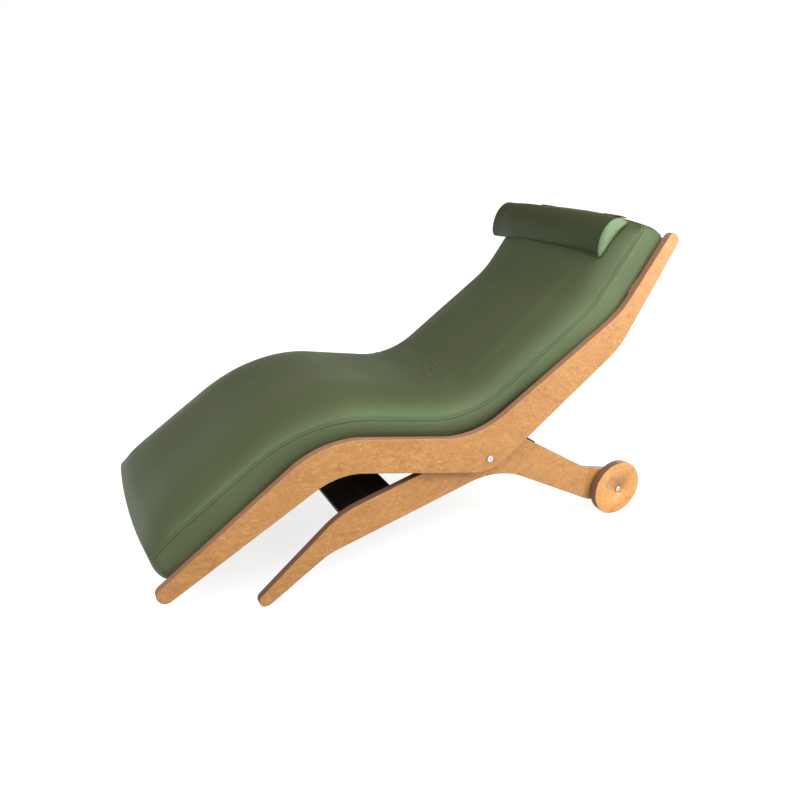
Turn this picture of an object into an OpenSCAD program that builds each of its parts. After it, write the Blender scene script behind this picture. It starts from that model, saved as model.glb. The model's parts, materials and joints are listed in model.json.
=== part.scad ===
// Wooden relaxation lounger: an S-shaped seat frame that tilts on a wheeled plywood base.
// Millimetres. X runs from the feet to the head, Y across, Z up, the floor is Z = 0.
// Left and right are those of the person who lies on it, so left is -Y.
// The side outlines are drawn in a plane whose origin is the tilt pivot.

/* [Frame] */
// Clear width between the two side rails
bay_w = 650; // [560:5:740]
// Thickness of the side rails
rail_t = 25; // [20:1:30]
// Thickness of the base plates
plate_t = 25; // [20:1:30]
// Height of the tilt pivot above the floor
pivot_h = 337; // [325:1:350]
// Largest tilt of the seat, head down
tilt_max = 15; // [13:0.5:16]

/* [Side rail] */
// Calf stretch of the rail's upper edge, toe to knee
calf_len = 629; // [560:1:690]
// Rise of the calf stretch
calf_angle = 35; // [32:0.5:38]
// Seat stretch, knee to hip
seat_len = 514; // [470:1:560]
// Fall of the seat stretch towards the hip
seat_fall = 11; // [9:0.5:13]
// Back stretch, hip to shoulder
back_len = 638; // [580:1:700]
// Rise of the back stretch
back_angle = 32.3; // [30:0.1:35]
// Head stretch, shoulder to the tip
head_len = 311; // [270:1:350]
// Rise of the head stretch
head_angle = 54; // [50:0.5:57]
// Bend radius of the upper edge at the knee
knee_r = 305; // [240:5:360]
// Bend radius of the upper edge at the hip
hip_r = 300; // [240:5:360]
// Bend radius of the upper edge at the shoulder
shoulder_r = 300; // [200:5:400]
// Depth of the rail at the toe
toe_depth = 50; // [44:1:58]
// Depth of the rail at the knee
knee_depth = 119; // [105:1:130]
// Depth of the rail in front of the hip
hip_depth = 117; // [110:1:125]
// Depth of the rail at the shoulder
shoulder_depth = 103; // [90:1:115]
// Depth of the rail at the head tip
head_depth = 48; // [42:1:56]

/* [Base plate] */
// Wheel axis behind the pivot, towards the head
wheel_reach = 552; // [500:1:600]
// Foot tip in front of the pivot
foot_reach = 750; // [690:1:800]
// Radius of the foot tip
foot_r = 22; // [18:1:26]
// Depth of the plate where the leg bends into the bridge
bend_depth = 136; // [120:1:150]
// Depth of the plate at its crown, behind the pivot
crown_depth = 134; // [126:1:142]
// Depth of the arm where it runs into the hub
neck_depth = 130; // [112:1:140]
// Radius of the hub behind the wheel
hub_r = 60; // [50:1:66]

/* [Wheel] */
// Wheel radius
wheel_r = 100; // [88:1:112]
// Wheel thickness
wheel_t = 27; // [22:1:32]
// Gap between the wheel and the base plate
wheel_gap = 5; // [3:0.5:8]

/* [Bolts] */
// Diameter of the pivot bolt's shank
pivot_d = 12; // [10:1:14]
// Diameter of the pivot bolt's head
pivot_head_d = 21; // [20:1:24]
// Diameter of the wheel bolt's shank
axle_d = 10; // [8:1:12]
// Diameter of the wheel bolt's head
axle_head_d = 18; // [17:1:20]

/* [Bed] */
// Width of a slat
slat_w = 50; // [40:1:60]
// Thickness of a slat
slat_t = 10; // [8:1:11]
// Number of slats
slat_count = 17; // [12:1:20]
// Height of the ledger strip under the slats
ledger_h = 14; // [10:1:14]
// Width of the ledger strip
ledger_w = 20; // [16:1:24]
// Height of the four cross rails
cross_h = 36; // [30:1:38]
// Thickness of the four cross rails
cross_t = 25; // [20:1:30]
// Width of the dark panel between the base plates
panel_w = 180; // [150:1:210]
// Thickness of the dark panel
panel_t = 18; // [12:1:22]

/* [Mattress] */
// Height of the mattress side, bottom to top seam
mattress_h = 95; // [83:1:104]
// Height of the crown above the top seam, over the calf stretch
mattress_crown = 38; // [20:1:44]
// What the crown gains from the knee to the head
crown_more = 21; // [8:1:26]
// Wall of the padded cover
cover_wall = 5; // [4:0.5:7]

/* [Pillow] */
// Length of the neck pillow, as a share of the clear width
pillow_share = 0.975; // [0.88:0.005:0.98]
// Width of the pillow's flat side, along the bed
pillow_w = 146; // [125:1:160]
// Thickness of the pillow
pillow_h = 60; // [48:1:70]
// Distance of the pillow's lower edge from the shoulder bend
pillow_at = 164; // [150:1:175]
// Offset of the pillow across the bed
pillow_shift = 32; // [0:1:32]
// Width of a pillow strap
strap_w = 55; // [35:1:65]
// Distance between the two straps' middles, as a share of the pillow's length
strap_share = 0.55; // [0.4:0.01:0.6]

/* [Hidden] */
$fn = 48;
// Overrun of every cut
cut = 2;
// Largest turn between two points of a bend
arc_step = 3;

// Running clearance of a shaft in its bush
run_fit = 0.05;
// Clearance of a bolt or dowel in its hole
hole_fit = 0.1;
// Gap between pieces that lie on each other
lie_gap = 0.3;
// Gap between a side rail and its base plate
plate_gap = 3;

// Hip corner of the rail's upper edge, in front of the pivot and above it
hip_set = 47;
hip_rise = 79;
// Depth of the rail under the front of the seat, the low end of the back and of the head
seat_front_depth = 104;
back_low_depth = 141;
head_low_depth = 71;
// Bend radii of the rail's lower edge
low_knee_r = 220;
low_hip_r = 160;
low_shoulder_r = 270;
// Share of the end depth that rounds each corner of the rail's ends
end_round_share = 0.48;

// Centre of the plate's bend, in front of the pivot and below it, and its lean
bend_set = 525;
bend_drop = 150.5;
bend_lean = 18.8;
// Centre of the plate's crown, behind the pivot and above it, and its lean
crown_set = 72.5;
crown_rise = 6;
crown_lean = 15;
// Centre of the plate's neck, in front of the wheel axis and above it, and its lean
neck_set = 120;
neck_rise = 32;
neck_lean = -8.3;
// Bend radii of the plate's upper and lower edges
bend_up_r = 285;
bend_low_r = 170;
crown_up_r = 190;
crown_low_r = 286;
neck_up_r = 90;
neck_low_r = 90;
// Depth of the flat that the foot stands on
foot_flat = 1;

// Bed surface: how far it lies in from the rail's corners, along the edge and below it
bed_toe_in = 46;
bed_toe_drop = 9;
bed_knee_in = 12;
bed_seat_drop = 40;
bed_hip_out = 18;
bed_shoulder_in = 55;
bed_shoulder_drop = 21;
bed_tip_in = 19;
bed_tip_drop = 5;
// Bend radii of the bed surface
bed_knee_r = 380;
bed_hip_r = 440;
bed_shoulder_r = 480;
// Margin between an end of the bed and its cross rail
bed_margin = 8;
// Gap between an end slat and its cross rail
slat_end_gap = 20;

// Stop rails: distance in front of the pivot and behind it, and the pads on the plates
front_stop_set = 214;
rear_stop_set = 183;
stop_pad_t = 4;
stop_pad_len = 30;

// Panel between the plates: its middle behind the bend, and its depth below the plates' edge
panel_at = 92;
panel_drop = 7;
// Beam between the plates, behind the pivot
beam_set = 73.5;
beam_rise = 7;
beam_t = 25;
beam_h = 70;

// Dowels: two in each end of a crosswise piece
dowel_r = 4;
dowel_in_side = 14;
dowel_in_cross = 22;
dowel_end_gap = 0.5;

// Bolt heads with a hexagon socket, bushes, spacers and flanged nuts
head_t = 5;
head_edge = 1;
socket_af = 6;
socket_deep = 3;
bush_wall = 2;
spacer_r = 15;
flange_t = 2;
flange_wall = 7;
nut_t = 9;
nut_share = 1.6;
bolt_over = 3;
wheel_edge = 1.5;

// Mattress: shares of its half width and of its height, from the bottom edge to the top seam
mattress_side_gap = 1;
seam_share = 0.985;
side_shares = [[0.95, 0], [0.985, 0.1], [1, 0.45], [0.996, 0.85], [seam_share, 1]];
core_side_shares = [[0.98, 0], [1, 0.5], [seam_share, 1]];
// Shares of the half width at which the crown is drawn
crown_shares = [0.955, 0.89, 0.78, 0.6, 0.32];
core_crown_shares = [0.86, 0.5];
crown_power = 6;
crown_fill = 0.7;
// Length over which the crown falls to the seam at each end, and over which it gains at the knee
crown_fade = 150;
crown_step = 300;
// Set-back of the top seam at both ends, and the bow and bulge of the end faces
end_lean = 24;
end_bow = 20;
end_bulge = 8;
end_zone = 170;
dome_shares = [0.55, 0.84];
// Steps of the mattress sections on straights and in bends
long_tick = 95;
arc_tick = 7.5;

// Pillow: how full it is at its ends, and the power with which it gets there
pillow_end_fill = 0.93;
pillow_fill_power = 6;
// Room kept between its end section and the next one
pillow_end_room = 10;
// Share of the mattress's half width up to which its flat side follows the crown
pillow_rest_share = 0.84;
pillow_dome_shares = [0.5, 0.85];
pillow_bulge = 9;
pillow_skew = -1;
pillow_lift = 1.3;
pillow_wall = 4;
pillow_steps = 8;
pillow_power = 2.5;
// Straps that go over the head edge of the mattress
strap_t = 2.5;
strap_bend_r = 14;
strap_over = 6;
strap_tail_share = 0.5;

// Unit vectors along a bearing, square to it, and along a lean from the vertical
function dir(a) = [cos(a), sin(a)];
function up(a) = [-sin(a), cos(a)];
function lean(a) = [sin(a), cos(a)];
function bearing(p, q) = atan2(q[1] - p[1], q[0] - p[0]);
function wrap(a) = a - 360 * floor((a + 180) / 360);
function turned(p, a) = p[0] * dir(a) + p[1] * up(a);
function cross2(a, b) = a[0] * b[1] - a[1] * b[0];
// Where the line p p2 meets the line q q2
function meet(p, p2, q, q2) = p + (p2 - p) * cross2(q - p, q2 - q) / cross2(p2 - p, q2 - q);
// Point of the line p q at a given x
function at_x(p, q, x) = p + (q - p) * (x - p[0]) / (q[0] - p[0]);
// Bearing, from a circle's centre, of the point where a tangent from p touches it
function touch(p, mid, r, side) = bearing(mid, p) + side * acos(r / norm(mid - p));
// Rows of an arc round a centre, anticlockwise from one bearing to another
function rim(mid, r, from, to) =
    let (sweep = wrap(to - from - 180) + 180, n = ceil(sweep / arc_step))
    [for (i = [0:n]) [mid + r * dir(from + sweep * i / n), 0]];
// Points of the corner p b q rounded with radius r
function corner(p, b, q, r) =
    r == 0 ? [b] :
    let (a = bearing(p, b), turn = wrap(bearing(b, q) - a), side = sign(turn),
        n = max(2, ceil(abs(turn) / arc_step)),
        mid = b - dir(a) * r * tan(abs(turn) / 2) + up(a) * r * side)
    [for (i = [0:n]) mid - up(a + turn * i / n) * r * side];
// Closed outline from rows of corner point and radius
function outline(rows) =
    let (n = len(rows))
    [for (i = [0:n - 1])
        each corner(rows[(i + n - 1) % n][0], rows[i][0], rows[(i + 1) % n][0], rows[i][1])];
// Points of a bar: its middle, bearing and length, and two heights square to the bearing
function bar(at, a, length, low, high) =
    [for (q = [[-1, low], [1, low], [1, high], [-1, high]])
        at + dir(a) * length / 2 * q[0] + up(a) * q[1]];

// A path is a list of stretches: start, heading, length, turn
function bend_cut(points, radii, i) =
    (i == 0 || i == len(points) - 1) ? 0 :
    radii[i] * tan(abs(wrap(bearing(points[i], points[i + 1])
        - bearing(points[i - 1], points[i]))) / 2);
function stretches(points, radii) =
    let (last = len(points) - 2)
    [for (i = [0:last])
        let (a = bearing(points[i], points[i + 1]),
            cut_a = bend_cut(points, radii, i),
            cut_b = bend_cut(points, radii, i + 1))
        each concat(
            [[points[i] + dir(a) * cut_a, a, norm(points[i + 1] - points[i]) - cut_a - cut_b, 0]],
            i == last ? [] :
            let (turn = wrap(bearing(points[i + 1], points[i + 2]) - a))
            [[points[i + 1] - dir(a) * cut_b, a, radii[i + 1] * abs(turn) * PI / 180, turn]])];
function length_of(path, i = 0) = i == len(path) ? 0 : path[i][2] + length_of(path, i + 1);
function start_of(path, i) = i == 0 ? 0 : path[i - 1][2] + start_of(path, i - 1);
// Point and heading at a distance along one stretch, and along the path
function step_in(q, s) =
    q[3] == 0 ? [q[0] + dir(q[1]) * s, q[1]] :
    let (side = sign(q[3]), r = q[2] * 180 / (PI * abs(q[3])), a = q[1] + q[3] * s / q[2])
    [q[0] + up(q[1]) * r * side - up(a) * r * side, a];
function along(path, s, i = 0) =
    (i == len(path) - 1 || s <= path[i][2]) ? step_in(path[i], s) :
    along(path, s - path[i][2], i + 1);
function beside(path, s, h) = let (at = along(path, s)) at[0] + up(at[1]) * h;
// Distances along the path: straights in steps of about long, bends in steps of about turn
function ticks(path, long, turn) =
    [for (i = [0:len(path) - 1])
        let (q = path[i], n = max(1, ceil(q[3] == 0 ? q[2] / long : abs(q[3]) / turn)))
        for (k = [0:n - 1]) start_of(path, i) + q[2] * k / n];
function ticks_between(path, from, to) =
    concat([from],
        [for (s = ticks(path, bed_len, arc_step)) if (s > from + lie_gap && s < to - lie_gap) s],
        [to]);
// Strip between two heights beside a path
function strip(path, from, to, low, high) =
    let (marks = ticks_between(path, from, to), n = len(marks))
    concat([for (i = [0:n - 1]) beside(path, marks[i], low)],
        [for (i = [n - 1:-1:0]) beside(path, marks[i], high)]);

// Corner points of the rail's upper edge
edge_hip = [-hip_set, hip_rise];
edge_knee = edge_hip - dir(-seat_fall) * seat_len;
edge_toe = edge_knee - dir(calf_angle) * calf_len;
edge_shoulder = edge_hip + dir(back_angle) * back_len;
edge_tip = edge_shoulder + dir(head_angle) * head_len;

// Corner points of the rail's lower edge
low_toe = edge_toe - up(calf_angle) * toe_depth;
low_tip = edge_tip - up(head_angle) * head_depth;
low_seat_front = edge_knee - up(-seat_fall) * seat_front_depth;
low_seat_rear = edge_hip - up(-seat_fall) * hip_depth;
low_back_front = edge_hip - up(back_angle) * back_low_depth;
low_back_rear = edge_shoulder - up(back_angle) * shoulder_depth;
low_calf_rear = edge_knee - up(calf_angle) * knee_depth;
low_head_front = edge_shoulder - up(head_angle) * head_low_depth;
low_knee = meet(low_toe, low_calf_rear, low_seat_front, low_seat_rear);
low_hip = meet(low_seat_front, low_seat_rear, low_back_front, low_back_rear);
low_shoulder = meet(low_back_front, low_back_rear, low_head_front, low_tip);
tip_round = head_depth * end_round_share;
rail_rows = [[edge_toe, toe_depth * end_round_share], [low_toe, toe_depth * end_round_share],
    [low_knee, low_knee_r], [low_hip, low_hip_r], [low_shoulder, low_shoulder_r],
    [low_tip, tip_round], [edge_tip, tip_round],
    [edge_shoulder, shoulder_r], [edge_hip, hip_r], [edge_knee, knee_r]];

// Corner points of the base plate
floor_z = -pivot_h;
foot_at = [-foot_reach, floor_z + foot_r - foot_flat];
hub_at = [wheel_reach, floor_z + wheel_r];
bend_at = [-bend_set, -bend_drop];
crown_at = [crown_set, crown_rise];
neck_at = hub_at + [-neck_set, neck_rise];
bend_up = bend_at + lean(bend_lean) * bend_depth / 2;
bend_low = bend_at - lean(bend_lean) * bend_depth / 2;
crown_up = crown_at + lean(crown_lean) * crown_depth / 2;
crown_low = crown_at - lean(crown_lean) * crown_depth / 2;
neck_up = neck_at + lean(neck_lean) * neck_depth / 2;
neck_low = neck_at - lean(neck_lean) * neck_depth / 2;
plate_rows = concat([[bend_low, bend_low_r], [crown_low, crown_low_r], [neck_low, neck_low_r]],
    rim(hub_at, hub_r, touch(neck_low, hub_at, hub_r, 1), touch(neck_up, hub_at, hub_r, -1)),
    [[neck_up, neck_up_r], [crown_up, crown_up_r], [bend_up, bend_up_r]],
    rim(foot_at, foot_r, touch(bend_up, foot_at, foot_r, 1),
        touch(bend_low, foot_at, foot_r, -1)));
plate_outline = [for (p = outline(plate_rows)) [p[0], max(p[1], floor_z)]];

// Corner points and stretches of the bed surface, on which the mattress lies
bed_points = [edge_toe + dir(calf_angle) * bed_toe_in - up(calf_angle) * bed_toe_drop,
    edge_knee - dir(-seat_fall) * bed_knee_in - up(-seat_fall) * bed_seat_drop,
    edge_hip + dir(-seat_fall) * bed_hip_out - up(-seat_fall) * bed_seat_drop,
    edge_shoulder - dir(back_angle) * bed_shoulder_in - up(back_angle) * bed_shoulder_drop,
    edge_tip - dir(head_angle) * bed_tip_in - up(head_angle) * bed_tip_drop];
bed_radii = [0, bed_knee_r, bed_hip_r, bed_shoulder_r, 0];
bed = stretches(bed_points, bed_radii);
bed_len = length_of(bed);

// Across the lounger, from the middle outwards
rail_in = bay_w / 2;
rail_out = rail_in + rail_t;
plate_out = rail_in - plate_gap;
plate_in = plate_out - plate_t;
wheel_in = plate_out + wheel_gap;
wheel_out = wheel_in + wheel_t;

// Slats and ledgers, measured along the bed surface
ledger_drop = slat_t + lie_gap;
cross_mid = bed_margin + cross_t / 2;
ledger_end = bed_margin + cross_t + lie_gap;
slat_first = bed_margin + cross_t + slat_end_gap + slat_w / 2;
slat_pitch = (bed_len - 2 * slat_first) / (slat_count - 1);
slat_marks = [for (i = [0:slat_count - 1]) slat_first + slat_pitch * i];
knee_mark = start_of(bed, 1) + bed[1][2] / 2;
hip_mark = start_of(bed, 3) + bed[3][2] / 2;
shoulder_mark = start_of(bed, 5) + bed[5][2] / 2;
ledger_room = bed_shoulder_r * (1 - cos(arc_step / 2));

// Cross rails: middle and bearing of their side outline
bridge_angle = bearing(bend_up, crown_up);
arm_angle = bearing(crown_up, neck_up);
front_stop_at = at_x(bend_up, crown_up, -front_stop_set);
rear_stop_at = at_x(crown_up, neck_up, rear_stop_set);
stop_lift = stop_pad_t + 2 * lie_gap + cross_h / 2;
foot_rail_row = [beside(bed, cross_mid, -cross_h / 2), along(bed, cross_mid)[1]];
head_rail_row = [beside(bed, bed_len - cross_mid, -cross_h / 2), along(bed, bed_len)[1]];
front_stop_row = [front_stop_at + up(bridge_angle) * stop_lift, bridge_angle];
rear_stop_row = [turned(rear_stop_at + up(arm_angle) * stop_lift, tilt_max), arm_angle + tilt_max];
panel_row = [bend_up + dir(bridge_angle) * panel_at - up(bridge_angle) * (panel_drop + panel_t / 2),
    bridge_angle];
beam_at = [beam_set, beam_rise];

// Dowel axes in the side plane
seat_dowel_at = [for (q = [foot_rail_row, front_stop_row, rear_stop_row, head_rail_row],
    side = [-1, 1]) q[0] + up(q[1]) * side * cross_h / 4];
panel_dowel_at = [for (side = [-1, 1]) panel_row[0] + dir(bridge_angle) * side * panel_w / 4];
beam_dowel_at = [for (side = [-1, 1]) beam_at + [0, side * beam_h / 4]];

// Mattress
mattress_half = rail_in - mattress_side_gap;
mattress_mid = mattress_h / 2;
mattress_end_s = concat(ticks(bed, long_tick, arc_tick), [bed_len]);
knee_room = slat_w * slat_w / (8 * bed_knee_r) + bed_knee_r * (1 - cos(arc_tick / 2)) + lie_gap;
hip_room = slat_w * slat_w / (8 * bed_hip_r) + ledger_room + lie_gap;
// Room under the mattress for the flat slats in the bends
function bend_room(s) =
    let (near = [for (i = [1, 3, 5])
        if (s > start_of(bed, i) - slat_w / 2 && s < start_of(bed, i + 1) + slat_w / 2) i])
    len(near) == 0 ? 0 : near[0] == 1 ? knee_room : hip_room;
// Height of the crown along the bed, and its share at a share of the half width
function crown_here(s) =
    let (u = min(1, max(0, min(s, bed_len - s)) / crown_fade),
        v = min(1, max(0, s - start_of(bed, 1)) / crown_step))
    (mattress_crown + crown_more * v * v * (3 - 2 * v)) * (1 - pow(1 - u, 3));
function crown_part(c) = pow(1 - pow(min(1, c / seam_share), crown_power), crown_fill);
function half_section(side, crown, s, wall) =
    let (low = lie_gap + bend_room(s) + wall, high = mattress_h - wall, half = mattress_half - wall)
    concat([for (q = side) [q[0] * half, low + q[1] * (high - low)]],
        [for (c = crown) [c * half, high + crown_here(s) * crown_part(c)]]);
function section(side, crown, s, wall) =
    let (right = half_section(side, crown, s, wall), n = len(right))
    concat(right, [[0, mattress_h - wall + crown_here(s)]],
        [for (i = [n - 1:-1:0]) [-right[i][0], right[i][1]]]);
// How far the lean and the bow of the ends push a point along the bed
function end_push(s, y, h) =
    let (foot = pow(max(0, 1 - s / end_zone), 2),
        head = pow(max(0, 1 - (bed_len - s) / end_zone), 2),
        in = end_lean * h / mattress_h - end_bow * (1 - pow(y / mattress_half, 2)))
    in * (foot - head);
function mattress_point(s, y, h, more = 0) =
    let (at = along(bed, s), p = at[0] + up(at[1]) * h + dir(at[1]) * (end_push(s, y, h) + more))
    [p[0], y, p[1]];
function mattress_ring(side, crown, s, wall) =
    [for (q = section(side, crown, s, wall)) mattress_point(s, q[0], q[1])];
function dome_ring(s, k, way) =
    [for (q = section(side_shares, crown_shares, s, 0))
        mattress_point(s, q[0] * k, mattress_mid + (q[1] - mattress_mid) * k,
            way * end_bulge * (1 - k * k))];
function inner_rings(wall) =
    [for (s = concat([wall], [for (t = mattress_end_s) if (t > 2 * wall && t < bed_len - 2 * wall) t],
        [bed_len - wall])) mattress_ring(core_side_shares, core_crown_shares, s, wall)];

// Pillow: along the head stretch from its lower edge, and square to it
pillow_s = bed_len - norm(bed_points[4] - bed_points[3]) + pillow_at;
pillow_half = bay_w * pillow_share / 2;
strap_at = pillow_half * strap_share;
pillow_core_share = 1 - 2 * pillow_wall / pillow_h;
function pillow_shift_at(y) = (y - pillow_shift) * tan(pillow_skew);
function pillow_under(s, y) =
    let (c = min(pillow_rest_share, abs(y) / mattress_half))
    mattress_h + crown_here(s) * crown_part(c) + pillow_lift;
// Places across at which the section is drawn: the ends, and where the mattress's crown is drawn
function pillow_ys(ends) =
    let (near = pillow_shift - ends, far = pillow_shift + ends,
        half = [for (c = crown_shares) c * mattress_half],
        all = concat([for (y = half) -y], [0], [for (i = [len(half) - 1:-1:0]) half[i]]))
    concat([near], [for (y = all) if (y > near + pillow_end_room && y < far - pillow_end_room) y], [far]);
function pillow_fill(y, ends) =
    1 - (1 - pillow_end_fill) * pow(abs(y - pillow_shift) / ends, pillow_fill_power);
function pillow_thick(a) =
    pillow_h * pow(max(0, 1 - pow(abs(2 * a / pillow_w - 1), pillow_power)), 1 / pillow_power);
function pillow_ring(y, more, fill, k) =
    let (from = pillow_s + pillow_shift_at(y),
        steps = [for (i = [0:pillow_steps]) pillow_w * (1 - cos(180 * i / pillow_steps)) / 2],
        over = [for (a = steps) [from + a, pillow_under(from + a, y) + fill * pillow_thick(a)]],
        below = [for (i = [pillow_steps - 1:-1:1])
            [from + steps[i], pillow_under(from + steps[i], y)]],
        mid = [from + pillow_w / 2, pillow_under(from + pillow_w / 2, y) + fill * pillow_h / 2])
    [for (q = concat(over, below))
        let (r = mid + (q - mid) * k, p = beside(bed, r[0], r[1])) [p[0], y + more, p[1]]];
function pillow_middle(y, more) =
    let (s = pillow_s + pillow_shift_at(y) + pillow_w / 2,
        p = beside(bed, s, pillow_under(s, y) + pillow_h / 2)) [p[0], y + more, p[1]];

// Straps: from the pillow's upper edge down over the head edge of the mattress
function strap_path(y) =
    let (gap = lie_gap + strap_w / 2 * abs(tan(pillow_skew)),
        s = pillow_s + pillow_w + pillow_shift_at(y) + gap,
        low = mattress_h * strap_tail_share,
        over = [for (h = [mattress_h, low]) bed_len + end_push(bed_len, y, h) + strap_over])
    stretches([beside(bed, s, pillow_under(s, y) + strap_t / 2),
        beside(bed, over[0], mattress_h + strap_over), beside(bed, over[1] + end_bulge, low)],
        [0, strap_bend_r, 0]);

// Middle of the length: from the mattress's foot seam to the rail's head tip
x_min = mattress_point(0, 0, mattress_h)[0];
x_max = low_tip[0] + tip_round * (1 - cos(head_angle) - sin(head_angle));
shift_x = -(x_min + x_max) / 2;

// Stands the pivot's side plane up in the room
module stand() {
    translate([shift_x, 0, pivot_h]) children();
}
// Extrudes a side outline across the lounger
module across(from, to) {
    translate([0, to, 0]) rotate([90, 0, 0]) linear_extrude(to - from) children();
}
// The children on the right, and mirrored on the left
module both_sides() {
    children();
    mirror([0, 1, 0]) children();
}
// Round piece on an axis across the lounger
module round_across(at, from, to, r) {
    translate([at[0], to, at[1]]) rotate([90, 0, 0]) cylinder(r = r, h = to - from);
}
// Holes or dowels at both ends of a crosswise piece
module pegs(points, joint, in_cross, in_side, r) {
    both_sides() for (p = points) round_across(p, joint - in_cross, joint + in_side, r);
}
// Closed solid through rings of points, with a middle point at each end
module loft(rings, first, last) {
    n = len(rings);
    m = len(rings[0]);
    points = concat([for (ring = rings) each ring], [first, last]);
    polyhedron(points = points, faces = concat(
        [for (i = [0:n - 2], k = [0:m - 1]) [i * m + k, (i + 1) * m + k, i * m + (k + 1) % m]],
        [for (i = [0:n - 2], k = [0:m - 1])
            [i * m + (k + 1) % m, (i + 1) * m + k, (i + 1) * m + (k + 1) % m]],
        [for (k = [0:m - 1]) [n * m, k, (k + 1) % m]],
        [for (k = [0:m - 1]) [n * m + 1, (n - 1) * m + (k + 1) % m, (n - 1) * m + k]]));
}

// Side rail on the right
module side_rail() {
    difference() {
        across(rail_in, rail_out) polygon(outline(rail_rows));
        round_across([0, 0], rail_in - cut, rail_out + cut, pivot_d / 2 + bush_wall + hole_fit);
        for (p = seat_dowel_at)
            round_across(p, rail_in - cut, rail_in + dowel_in_side + dowel_end_gap,
                dowel_r + hole_fit);
    }
}
module side_rail_left() {
    color("burlywood") stand() mirror([0, 1, 0]) side_rail();
}
module side_rail_right() {
    color("burlywood") stand() side_rail();
}
// Ledger strip on the right: it follows the bed from cross rail to cross rail
module ledger() {
    across(rail_in - lie_gap - ledger_w, rail_in - lie_gap)
        polygon(strip(bed, ledger_end, bed_len - ledger_end, -ledger_drop - ledger_h, -ledger_drop));
}
module ledger_left() {
    color("tan") stand() mirror([0, 1, 0]) ledger();
}
module ledger_right() {
    color("tan") stand() ledger();
}
// Flat slats between two marks of the bed, each lifted clear of the ledgers' bends
module slats(from, to) {
    for (s = slat_marks) if (s > from && s <= to) {
        p = beside(bed, s - slat_w / 2, -ledger_drop);
        q = beside(bed, s + slat_w / 2, -ledger_drop);
        a = bearing(p, q);
        turn = along(bed, s + slat_w / 2)[1] - along(bed, s - slat_w / 2)[1];
        lift = turn > 0 ? ledger_room : max([for (i = [-2:2])
            (beside(bed, s + slat_w * i / 8, -ledger_drop) - p) * up(a)]);
        across(lie_gap - rail_in, rail_in - lie_gap)
            polygon(bar((p + q) / 2, a, slat_w, lift + lie_gap, lift + lie_gap + slat_t));
    }
}
module calf_slats() {
    color("wheat") stand() slats(0, knee_mark);
}
module seat_slats() {
    color("wheat") stand() slats(knee_mark, hip_mark);
}
module back_slats() {
    color("wheat") stand() slats(hip_mark, shoulder_mark);
}
module head_slats() {
    color("wheat") stand() slats(shoulder_mark, bed_len);
}
// Cross rail between the side rails, doweled at both ends
module cross_rail(row) {
    difference() {
        across(lie_gap - rail_in, rail_in - lie_gap)
            polygon(bar(row[0], row[1], cross_t, -cross_h / 2, cross_h / 2));
        pegs([for (side = [-1, 1]) row[0] + up(row[1]) * side * cross_h / 4], rail_in,
            dowel_in_cross + dowel_end_gap, cut, dowel_r + hole_fit);
    }
}
module foot_cross_rail() {
    color("burlywood") stand() cross_rail(foot_rail_row);
}
module front_stop_rail() {
    color("burlywood") stand() cross_rail(front_stop_row);
}
module rear_stop_rail() {
    color("burlywood") stand() cross_rail(rear_stop_row);
}
module head_cross_rail() {
    color("burlywood") stand() cross_rail(head_rail_row);
}
module seat_dowels() {
    color("peru") stand() pegs(seat_dowel_at, rail_in, dowel_in_cross, dowel_in_side, dowel_r);
}
// Bush on the right, in a bore between two faces
module bush(at, from, to, d) {
    difference() {
        round_across(at, from, to, d / 2 + bush_wall);
        round_across(at, from - cut, to + cut, d / 2 + run_fit);
    }
}
module pivot_bushes() {
    color("dimgray") stand() both_sides() bush([0, 0], rail_in, rail_out, pivot_d);
}

// Padded cover: a closed shell round the foam
module mattress_cover() {
    color("darkolivegreen") stand() difference() {
        loft(concat([for (k = dome_shares) dome_ring(0, k, -1)],
            [for (s = mattress_end_s) mattress_ring(side_shares, crown_shares, s, 0)],
            [for (i = [len(dome_shares) - 1:-1:0]) dome_ring(bed_len, dome_shares[i], 1)]),
            mattress_point(0, 0, mattress_mid, -end_bulge),
            mattress_point(bed_len, 0, mattress_mid, end_bulge));
        loft(inner_rings(cover_wall), mattress_point(cover_wall, 0, mattress_mid),
            mattress_point(bed_len - cover_wall, 0, mattress_mid));
    }
}
module mattress_foam() {
    wall = cover_wall + lie_gap;
    color("khaki") stand() loft(inner_rings(wall), mattress_point(wall, 0, mattress_mid),
        mattress_point(bed_len - wall, 0, mattress_mid));
}

// Neck pillow: a cushion with a flat side on the mattress
module pillow_body(k, y_share) {
    ends = pillow_half * y_share;
    loft(concat(
        [for (c = pillow_dome_shares)
            pillow_ring(pillow_shift - ends, -pillow_bulge * (1 - c * c), pillow_end_fill, k * c)],
        [for (y = pillow_ys(ends)) pillow_ring(y, 0, pillow_fill(y, ends), k)],
        [for (i = [len(pillow_dome_shares) - 1:-1:0])
            let (c = pillow_dome_shares[i])
            pillow_ring(pillow_shift + ends, pillow_bulge * (1 - c * c), pillow_end_fill, k * c)]),
        pillow_middle(pillow_shift - ends, -pillow_bulge),
        pillow_middle(pillow_shift + ends, pillow_bulge));
}
module pillow_cover() {
    share = 1 - (pillow_bulge + pillow_wall) / pillow_half;
    color("olivedrab") stand() difference() {
        pillow_body(1, 1 - pillow_bulge / pillow_half);
        pillow_body(pillow_core_share, share);
    }
}
module pillow_filling() {
    share = 1 - (pillow_bulge + pillow_wall + lie_gap) / pillow_half;
    color("ivory") stand() pillow_body(pillow_core_share - 2 * lie_gap / pillow_h, share);
}
module pillow_strap(y) {
    path = strap_path(y);
    across(y - strap_w / 2, y + strap_w / 2)
        polygon(strip(path, 0, length_of(path), -strap_t / 2, strap_t / 2));
}
module pillow_strap_left() {
    color("darkolivegreen") stand() pillow_strap(pillow_shift - strap_at);
}
module pillow_strap_right() {
    color("darkolivegreen") stand() pillow_strap(pillow_shift + strap_at);
}

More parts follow.
